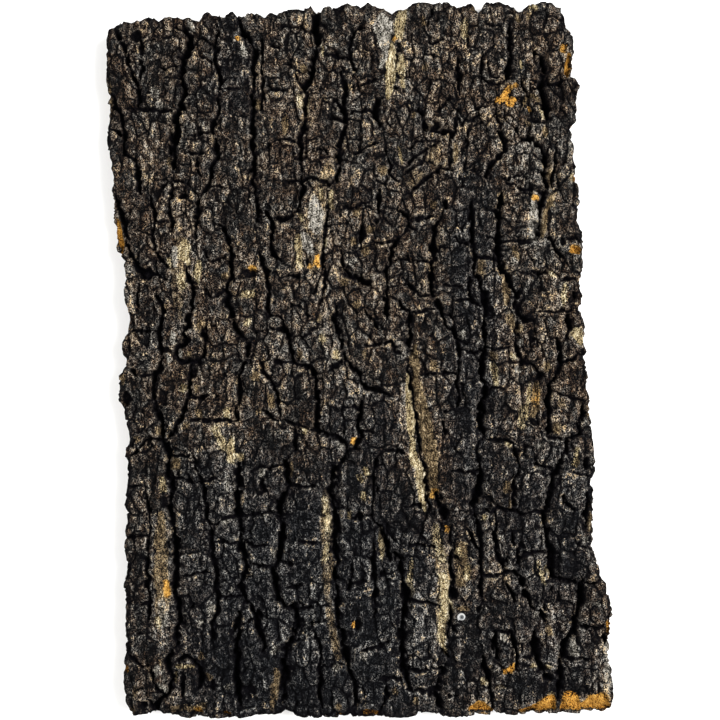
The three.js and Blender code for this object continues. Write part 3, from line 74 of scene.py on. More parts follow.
RIGHT_EDGE = [
    130, 220.2, 132, 211.8, 135, 210.2, 136.3, 206.8, 136.7, 201, 137, 196, 135.4, 191, 135.8, 184.3, 134.6,
    181, 138.3, 180.6, 140, 174.3, 138.3, 167.7, 138.3, 159.3, 137.5, 151.8, 134.6, 149, 135, 142.7, 135.8,
    132.7, 135, 129.8, 137.5, 123.5, 136.7, 118.5, 138, 115, 140, 111, 140, 104.3, 140, 97.7, 139.2, 93.5,
    138.3, 89.3, 140, 86, 142, 82.7, 142.9, 79.3, 141.7, 72.7, 142, 69.3, 141.7, 66, 142.5, 61, 141.3, 55.2,
    140, 51, 140, 46, 141.7, 41, 142, 36.8, 140.4, 32.7, 142, 26.8, 143.3, 22.7, 143.3, 12.7, 144.2, 7.7,
    143.8, -0.7, 145, -6.5, 145.4, -12.3, 144.7, -18.5, 146.3, -23.2, 146.3, -30.7, 147.9, -38.2, 147.9,
    -47.3, 149.2, -55.7, 149.8, -64, 149.8, -71.5, 147.9, -76.5, 147, -80.4, 149.3, -82.7, 149.2, -89, 149.2,
    -101.5, 148.8, -108.2, 147.9, -112.3, 148.8, -117.3, 148.8, -121.5, 150.2, -124.8, 152.5, -133.2, 154.6,
    -139.6, 157, -143, 158, -149.7, 160.4, -158.2, 161.2, -163.5, 160, -168.2, 160, -171.2, 159.2, -175.2,
    157.3, -178.2, 158.5, -181.6, 157.7, -185.8, 158.8, -191.2, 160, -199, 161.3, -205.8, 162.5, -212.8,
    161.9, -216.6,
]
BOTTOM_EDGE = [
    160.8, -222.8, 158, -224.3, 152.7, -224.7, 145, -224.2, 137.3, -224.7, 129.6, -224.7, 123.5, -225.7,
    114.2, -225.7, 106.5, -226, 100.4, -227.2, 94.2, -226.8, 88.8, -225.2, 83.5, -226.6, 77.3, -227, 71.2,
    -227.5, 66.5, -228.3, 60.4, -229, 55, -228.3, 49.6, -226.6, 45, -225.5, 41.5, -224.7, 39.2, -225.5, 33.8,
    -228, 28.5, -229, 20, -229.3, 13, -228.3, 5.4, -228.5, -0.8, -229, -6, -228, -12.3, -228.5, -17, -229,
    -23, -228.3, -30, -228.5, -37, -228.5, -40, -227.8, -43.8, -225, -46.9, -223.7, -50, -225.5, -55.4,
    -226.2, -59.3, -226, -67.8, -226.2, -72.4, -227.5, -76.2, -228.8, -80, -228, -85.5, -228.9, -89.3, -229.5,
    -93.9, -229.3, -97, -228, -100.8, -227.2, -105.5, -227.4, -109.3, -228.5, -113.2, -228.5, -117, -226.8,
    -120.8, -226, -127, -226.2, -133.9, -225.7, -138.5, -226.2, -145, -227.5,
]
LEFT_EDGE = [
    -146.8, -225, -147.8, -221.2, -150, -218.5, -149.7, -214.3, -151, -206.6, -150.2, -199, -150.5, -193.5,
    -149.3, -188, -149.9, -182.8, -149.2, -178.9, -149.5, -171.2, -149, -160.5, -149.7, -152.8, -150.5, -145,
    -150.5, -140.5, -149, -134, -149, -125.7, -150.3, -119.8, -149.5, -114, -150.3, -109.8, -149, -105.7,
    -148.8, -96.5, -150, -93.2, -149.5, -89, -148.7, -80.7, -147.8, -75.7, -148.7, -67.3, -150, -61.5, -149,
    -54.8, -147, -51.5, -147.4, -47.3, -149, -40.7, -150.3, -34.8, -150, -31.5, -152, -29.8, -154, -26.5,
    -154.5, -22.3, -153.3, -18.5, -153.7, -14.8, -153.7, -9.8, -152, -7.3, -149, -4, -149, -1.5, -151.2, 3.5,
    -152, 8.5, -150.8, 12.7, -148.3, 17.7, -147, 22.7, -147.4, 28.5, -149, 35, -150, 40.2, -150.3, 45.2,
    -149.5, 51, -150, 56, -150.8, 61.8, -152, 66, -154.5, 69.3, -155.5, 75, -156, 80, -156.6, 89.3, -157,
    93.5, -157.4, 102, -158.5, 110.2, -156.6, 112.7, -157, 118.5, -158.7, 122.7, -158.3, 127.7, -160, 130.2,
    -160.8, 135.2, -162.5, 140.2, -161.6, 144.3, -161.6, 147.7, -160, 153.5, -160.3, 160, -161.2, 166, -160,
    169.3, -160.8, 172.7, -162.3, 181, -161.6, 191, -161.8, 203.5,
]

# Deep furrows, each a width and then the x, y pairs of its floor.
FURROWS = [
    [3, -157.4, 208.5, -152, 202.7, -149.5, 197.7, -148.7, 191, -147, 184.3, -143.7, 179.3, -142, 172.7,
     -141.6, 166.8, -142.8, 161.8], [2.5, -140, 205, -139.5, 194.3, -140.3, 181, -142.5, 176],
    [2.6, -157.8, 169.3, -157, 161.8, -152, 154.3, -151.2, 146.8, -151.6, 139.3, -150.8, 131.8, -144.5, 128.9,
     -142.4, 122.7, -142, 114.3, -141.2, 106], [3, -159.5, 148, -157, 147, -153, 144],
    [3, -156.6, 108, -154.5, 97.7, -152.4, 91, -150, 85.2, -149, 79.3, -149.2, 72.7, -146.2, 66, -143.7, 60.2,
     -139.5, 56.8, -134, 55, -123.7, 51.8],
    [4.5, -117, 213.5, -112.8, 211, -109.5, 206, -108.7, 199.3, -110.5, 196, -114.5, 193.5, -113.7, 189.3,
     -113.3, 181, -112.4, 174.3, -113.7, 166.8, -117, 161, -118.3, 156, -117.4, 147.7, -118.3, 141, -119.5,
     134.3, -118.7, 129.3, -119.9, 122.7],
    [3.2, -130.3, 42.7, -127.8, 36.8, -125.8, 31, -127, 22.7, -128.7, 18.5, -127.5, 12, -127.8, 0.2, -129,
     -5.7, -132, -10.7, -132.8, -18.2, -131.6, -24.8, -131.2, -32.3, -128.7, -36.5, -126.2, -41.5, -125.8,
     -47.3, -126.2, -51.5],
    [2.6, -147, -61.5, -142, -56.5, -139.5, -53.2, -135.3, -51.5, -130.3, -50.7, -126.2, -51.5],
    [4, -126.2, -51.5, -124.5, -54.8, -121.6, -59.8, -122.8, -65.7, -123.7, -72.3, -122, -79, -119.5, -84.8,
     -120.5, -90, -121.6, -95.7, -120.8, -102.3, -119.5, -108.2, -117.8, -114.8, -117, -119, -118, -126,
     -117.8, -133.5, -118.5, -145, -117.8, -152.8, -116.2, -158.9, -116.2, -165, -117, -172.8, -117.8, -180.5,
     -120.8, -187.4, -123.2, -192, -123.2, -197.4, -120.8, -202, -120.8, -210.5, -124.7, -215.5, -130, -221.5,
     -138, -222], [3.2, -133.2, -196, -133.2, -201.2, -131.6, -206.6, -128.5, -212, -125, -215.5],
    [2.5, -102.8, 103, -104.5, 95.2, -105.3, 86.8, -105, 78.5],
    [3.2, -110.3, 56.8, -108.7, 49.3, -107.4, 42.7, -107.8, 34.3, -109.5, 26, -110.5, 21.8, -113.7, 18.5,
     -112, 13.5, -114, 9, -117, 7.7, -117.8, 3.5, -115.3, -1.5, -108.7, -2, -108.7, -9, -110, -20.7, -110.3,
     -24.8, -112, -30.7, -113.7, -35.7, -117, -41.5, -118.7, -45.7, -123, -51],
    [3, -97.8, 23.5, -98.7, 20.2, -99.5, 14.3, -99.5, 7.7, -100.3, 1.8, -104, -1.5, -108.7, -2],
    [2.6, -107, -60.7, -106.2, -65.7, -103.7, -71.5, -101.2, -78.2, -99.5, -84.8, -98.7, -93.2, -97.4, -99,
     -96.2, -104.8, -94.9, -112.3, -94.1, -119, -94.5, -126.5, -92, -134, -91.6, -142, -91.2, -149, -90.8,
     -155, -90.8, -162, -94.7, -169, -95.5, -176],
    [3.4, -117.8, -193.5, -113.2, -191.6, -108.5, -192, -104.7, -194.3, -102.4, -197.4, -102.4, -202.8,
     -103.2, -210.5],
    [2.6, -91.6, 214.3, -91.6, 197.7, -92.8, 190.2, -90.3, 184.3, -88.7, 177.7, -90.8, 169.3, -90.3, 161.8,
     -91.6, 156, -94.5, 151, -95.3, 146, -92.8, 140.2, -90.8, 134.3, -90.3, 130.2, -94.5, 124.3, -96, 117,
     -98.5, 110, -102.8, 103],
    [3.6, -89.5, 86.8, -86.2, 81.8, -84.5, 76.8, -83.7, 70.2, -82.8, 62, -82.8, 52.7, -85.3, 47.7, -85.8, 41,
     -84.9, 35.2, -82.8, 31, -81.2, 26, -79.5, 20.2, -77.5, 16.5, -73.5, 15.5],
    [4.2, -73.5, 15.5, -72.3, 9, -71.5, 1.8],
    [2.5, -71.5, 1.8, -75.3, -3.2, -76.2, -8.2, -77, -14, -77, -24, -78.7, -32.3, -79.5, -39],
    [3.8, -78.7, -65.7, -78.3, -72.3, -77.4, -80.7, -78.7, -86.5, -78.7, -94, -76.2, -100.7, -75.3, -108.2,
     -77.4, -114, -77, -119, -74.5, -124.8, -73.7, -132.3, -75.5, -138, -76.2, -145, -73.9, -151.2, -70,
     -157.4, -66.2, -162.8, -64.7, -169.7, -62.5, -176, -61.6, -187.4],
    [4.6, -78, -163, -78.5, -168.2, -78.5, -175.8, -78.5, -183.5, -78.5, -191.2, -79, -199, -79.3, -205,
     -78.5, -214.3, -76, -220],
    [3.8, -77.4, 215.2, -74.5, 210.2, -70.3, 204.3, -67.8, 199.3, -67.8, 191, -68.3, 181, -68.3, 174.3, -69,
     167.7, -68.7, 158.5, -68.3, 149.3, -68.7, 141, -68.3, 132.7, -68.7, 123.5, -68.7, 115.2, -67, 107, -65.3,
     99.3, -65.8, 92.7, -67, 86.8],
    [2.7, -64.5, 69, -62, 61, -59.9, 55.2, -58.7, 47.7, -59.1, 39.3, -58.7, 31, -57, 28.5],
    [3, -59.5, 95.2, -57.8, 91, -56.2, 85.2, -56.9, 78.5, -57, 71, -54.2, 66, -50.8, 64.3],
    [2.8, -57.8, 91, -49.2, 90.2, -44.2, 91.8, -40, 95.2, -38.3, 101, -37.2, 110, -37.9, 123.5],
    [3.4, -49, 24, -47.5, 17.7, -45, 12.7, -43.8, 6, -43.3, 0.2, -37.5, -3.2, -31.7, -4.8, -28.3, -9, -27.9,
     -14.8, -27.9, -22.3, -27.5, -30.7, -28.8, -39, -25.8, -44.8, -21.7, -47.3, -17.5, -48.6, -12.5, -49.8,
     -9.2, -54, -8.3, -59, -10, -63, -13.3, -67.3],
    [4.7, -13.3, -67.3, -16.7, -69.8, -18.3, -75.7, -18.8, -84.8, -17.5, -93.2, -15.4, -100.7, -14.6, -107.3,
     -15.8, -114, -15.4, -120.7, -14.6, -126.5, -16, -135, -15.5, -141, -14.6, -145, -14.6, -152.8, -14.6,
     -160.5, -13.8, -168.2, -11.5, -175.8, -10, -183.5, -9.2, -189.7, -7.7, -195.8, -5.4, -202, -3.8, -209.7,
     -3, -217.4, -4.6, -222.8], [2.6, -41.7, -41, -41.3, -49.8, -41.7, -57.3, -45.8, -61.5],
    [4.3, -45.8, -61.5, -47.5, -67.3, -47.1, -74, -45, -79.8, -47.5, -84.8, -50.8, -91.5, -51.7, -97.3, -50,
     -104, -49.6, -112.3, -50, -120.7, -52.5, -128.2, -55.2, -133.2, -55, -139, -53.8, -145, -51.5, -152.8,
     -48.5, -158.2],
    [5.6, -48.5, -158.2, -43.8, -158.8, -40.8, -162, -39.2, -168.2, -41.5, -174.3, -44.6, -180.5, -47.7,
     -186.6, -48.5, -193.5, -47.7, -200.5, -47.7, -208.2, -48.5, -215.8, -49.2, -221.2],
    [4.2, -26.7, 222.7, -28.8, 217.7, -28, 210.2, -27, 203.5, -28.3, 197.7, -29.6, 191, -30.8, 184.3, -33.3,
     179.3, -35.4, 172.7], [3.7, -35.4, 153, -37.5, 145.2, -38.8, 138.5, -37.5, 131.8, -37.9, 123.5],
    [3.5, -15, 166, -11.7, 161.8, -8.3, 157.7, -8.8, 151.8, -10.8, 145.2, -12.5, 138.5, -13.3, 131, -12.9,
     123.5, -15.5, 117, -18.3, 112.7], [2.5, -12, 186.8, -10.8, 181, -9.2, 173.5, -9.6, 167, -11.7, 161.8],
    [2.6, -21.7, 195.2, -16.7, 196, -13.3, 194.8, -8.3, 195.2],
    [4.2, -10.8, 58.5, -5.8, 54.3, 0, 51, 5.8, 49.3], [3.2, 1.7, 86, 1.3, 78.5, 0.8, 72.7],
    [3.3, -14.6, 35.2, -15.8, 26, -13.5, 20, -12.3, 13, -11.5, 8, -9.2, 1, -4.2, -5.7, 0, -9.8, 1.7, -14.8,
     5.8, -18.2, 11.7, -19.8, 18.3, -21.5], [2.6, -9.2, 1, -13.3, -2.3, -18.3, -6.5, -24.2, -8.2, -28.3, -9],
    [3.8, 1.7, -26.5, 0.8, -32.3, -0.8, -39, -1.3, -43.2, 1, -46.5, 0, -50.7, -3, -55.5, -8.3, -58],
    [3.2, 13.3, -59.4, 10.8, -61.5, 10, -68.2, 9.2, -76.5, 8.8, -84.8, 7.9, -93.2, 6.7, -98.2, 10.8, -104, 15,
     -108.2], [4.2, 15, -108.2, 16.7, -114, 18.3, -120.7, 19.2, -128.2],
    [2.8, -5.8, -101, 0, -99.8, 6.7, -98.8], [2.7, 9.2, -118, 9.2, -133.5, 9.6, -145, 10, -154.3, 9.6, -165],
    [2.5, 12.3, -137.4, 17.7, -136.6], [3, 16.5, -210, 17, -217.4, 13.8, -223.5],
    [3, 14.2, 168.5, 10.8, 165.2, 10, 160.2, 10.8, 156, 12.5, 151.8],
    [2.9, 14, 112, 12, 107, 11.7, 101, 12.1, 95.2, 10.8, 89.3, 10, 86], [3.2, 23.3, 96, 27, 94.5, 30.5, 91],
    [3.6, 27.5, 80, 23, 76, 20, 71, 20, 65.2, 19.5, 61, 16.5, 57, 17.5, 49.3, 16.7, 41.8, 17.9, 32.7, 17.3,
     26.8], [2.5, 25.5, 37, 27.5, 33.5, 31.7, 31], [5, 31.7, 30, 31.7, 21, 32.5, 15.2, 32.1, 9.3],
    [4.2, 49, -86, 50.8, -91.5, 53.3, -97.3, 54.6, -102.3],
    [3.2, 21, -123, 24.2, -125.7, 27, -128, 26.5, -133.2, 27, -141.2],
    [5, 27, -141.2, 29.2, -148.2, 30, -155, 28.5, -162, 27, -169.7, 27, -178.2, 27, -187.4, 28.5, -195, 29.6,
     -202.8, 30.8, -209.7], [5, 51, -205, 48, -212, 50, -218, 52.7, -223],
    [3.5, 38.3, 161, 41.7, 151.8, 45, 147.7, 51.7, 146.8, 58, 146],
    [3, 31.7, 106.8, 38.3, 111.8, 42.5, 116.8, 48.3, 120.2, 52.5, 122.7, 58, 121.8],
    [3.9, 50.8, 90.2, 48.3, 86, 47.5, 78.5, 47.5, 70.2, 46.3, 61.8, 46.7, 52.7, 45.8, 44.3, 47.5, 38.5, 51.7,
     33.5, 53, 26.8, 55.8, 21.8],
    [2.7, 55.8, 21.8, 60, 19.3, 61.7, 14.3, 63.8, 7.7, 64.2, 2.7, 62.8, -2.3, 63.3, -8.2, 62.1, -14.8, 62.9,
     -20, 62.9, -26.5, 60.8, -32], [2.6, 58.5, -158, 58.5, -164, 57, -170, 56.5, -176],
    [2.5, 69.2, -108.2, 72.5, -114.8, 75, -120.7],
    [3.3, 72, 101, 71.7, 91.8, 71.7, 82.7, 72.1, 74.3, 73.7, 66, 73.7, 59.3, 75.8, 52.7, 78.3, 46, 80, 40.2,
     80.4, 35.2, 79.2, 29.3, 79.6, 22.7, 80.4, 16, 80.8, 10.2],
    [4.7, 80.8, 10.2, 80, 3.5, 78.7, -1.5, 78.3, -7.3, 79.2, -14, 81.2, -19, 80, -24, 77.9, -28.2, 77.1,
     -34.8, 77.9, -43.2, 79.8, -48.2], [6, 77.5, -70.7, 76.7, -77.3, 75, -84.8, 74.2, -91.5, 73.3, -96.5],
    [2.5, 73.3, -96.5, 76.7, -105.7, 77.1, -114, 77.5, -124, 77.9, -134.8, 77.8, -142, 78, -154.3],
    [2.5, 86.7, 157.7, 90, 151, 90.8, 144.3, 92.5, 138.5, 93, 134, 90, 131.8, 85.8, 128.5, 83.3, 123.5, 80.8,
     116.8],
    [3.4, 90, 108, 90, 101, 90.4, 95.2, 88.3, 86.8, 88.3, 79.3, 88.8, 71, 89.2, 62.7, 91.7, 56.8, 95, 52.7,
     98.3, 46, 100, 40.2, 100, 34.3, 100.8, 28.5, 106, 25.5, 111.7, 26],
    [2.7, 100.8, 28.5, 99.2, 18.5, 100, 11.8, 100.8, 6, 103.3, -1.5, 108.3, -2.3, 111.7, -3.2, 114.2, -9],
    [3.5, 95, 215.2, 95.4, 206, 95.8, 197.7, 96.7, 193.5, 95, 186.8, 95, 181.8, 91.7, 177.7],
    [2.4, 99, -56, 101, -62, 102.5, -69], [3.4, 101, -70, 98.3, -77.3, 99.2, -84.8, 99.6, -93.2, 99, -97],
    [2.5, 80.8, -95.7, 84.2, -97.3, 86.7, -94.8, 91.7, -95.3, 96, -96, 99.2, -97, 104.2, -99, 110.8, -97.3,
     115.8, -97.3, 119.2, -97.3], [2.8, 87, -98, 87.5, -109, 86, -112.3, 87.5, -122.3, 90, -129, 91.7, -135],
    [3, 98.3, -111, 98.3, -117.5], [2.8, 94.2, -143.5, 97.3, -149.7, 98.8, -155],
    [4, 105, -147.4, 108, -152.8, 110.4, -159], [4, 115.8, -160, 118, -166.5],
    [6, 111.5, -174, 112.7, -183.5, 114.2, -191.2, 116.5, -197.4, 118.8, -202.8, 123.5, -204.3],
    [4, 86.5, -174, 86.5, -183.5, 87.7, -191.2], [3.6, 79, -191, 81.2, -199, 82.7, -206.6, 83.5, -212.8],
    [2.5, 83.5, -212.8, 86.5, -222.8], [2.5, 98.5, -176, 99.5, -184, 100.4, -191.2, 101.2, -199],
    [4.6, 112.5, 197.7, 115.8, 195.2, 118.3, 187.7, 117.5, 181, 116.7, 174.3, 117.5, 167.7, 119.2, 161.8, 120,
     156],
    [3.4, 103, 143, 106.7, 141.8, 111.7, 140.2, 115.8, 136.8, 118.3, 131, 118.8, 123.5, 118.3, 116.8, 119,
     111, 117.5, 104, 115.4, 96, 114.6, 89.3, 113.3, 82.7, 112.5, 78.5],
    [3, 121, 79, 124.2, 72.7, 128.3, 69.3, 131.7, 65.2], [2.5, 110, 56.8, 114.2, 55.2, 119.2, 56],
    [3, 137, 48, 138.3, 39.3], [4.5, 133.8, 28, 134.4, 21, 133, 16],
    [3.2, 126.7, 13.5, 128.3, 6, 128.3, 0, 127.5, -5.7, 125, -10.7, 122, -16, 121, -24, 121.7, -34.8, 121.7,
     -43.2, 120.8, -49.5], [2.5, 128.3, 0, 131.7, -0.7, 138.3, 0.6],
    [3.4, 142, -27, 143.3, -34, 139.8, -41.5, 140.8, -47.3, 138.3, -49, 133, -51],
    [3.7, 133, -51, 132.5, -54, 130.8, -60.7, 128.3, -67.3, 125.8, -72.3, 123.3, -80.7, 121.7, -86.5, 120,
     -92, 119.2, -97.3], [2.6, 112.5, -67.3, 118.3, -68.2, 125.5, -70],
    [5, 119.2, -97.3, 118.8, -104, 120, -112.3, 121.7, -119.8, 122, -126.5, 122.9, -134.8, 124.2, -140],
    [2.4, 130.8, -86.5, 130, -90.7, 133.3, -94, 137.5, -96.5],
    [3, 146.5, -86, 145.8, -93.2, 145, -101.5, 145.8, -107],
    [5, 141.5, -143, 142.7, -151.2, 142, -159, 138, -165.8, 137.3, -171.2, 136, -175.8, 131.6, -180.5, 130.4,
     -187.4, 128.8, -195, 128.5, -202.8, 128, -210.5, 126.5, -217.5], [2.4, 156.5, -174, 156, -181],
]

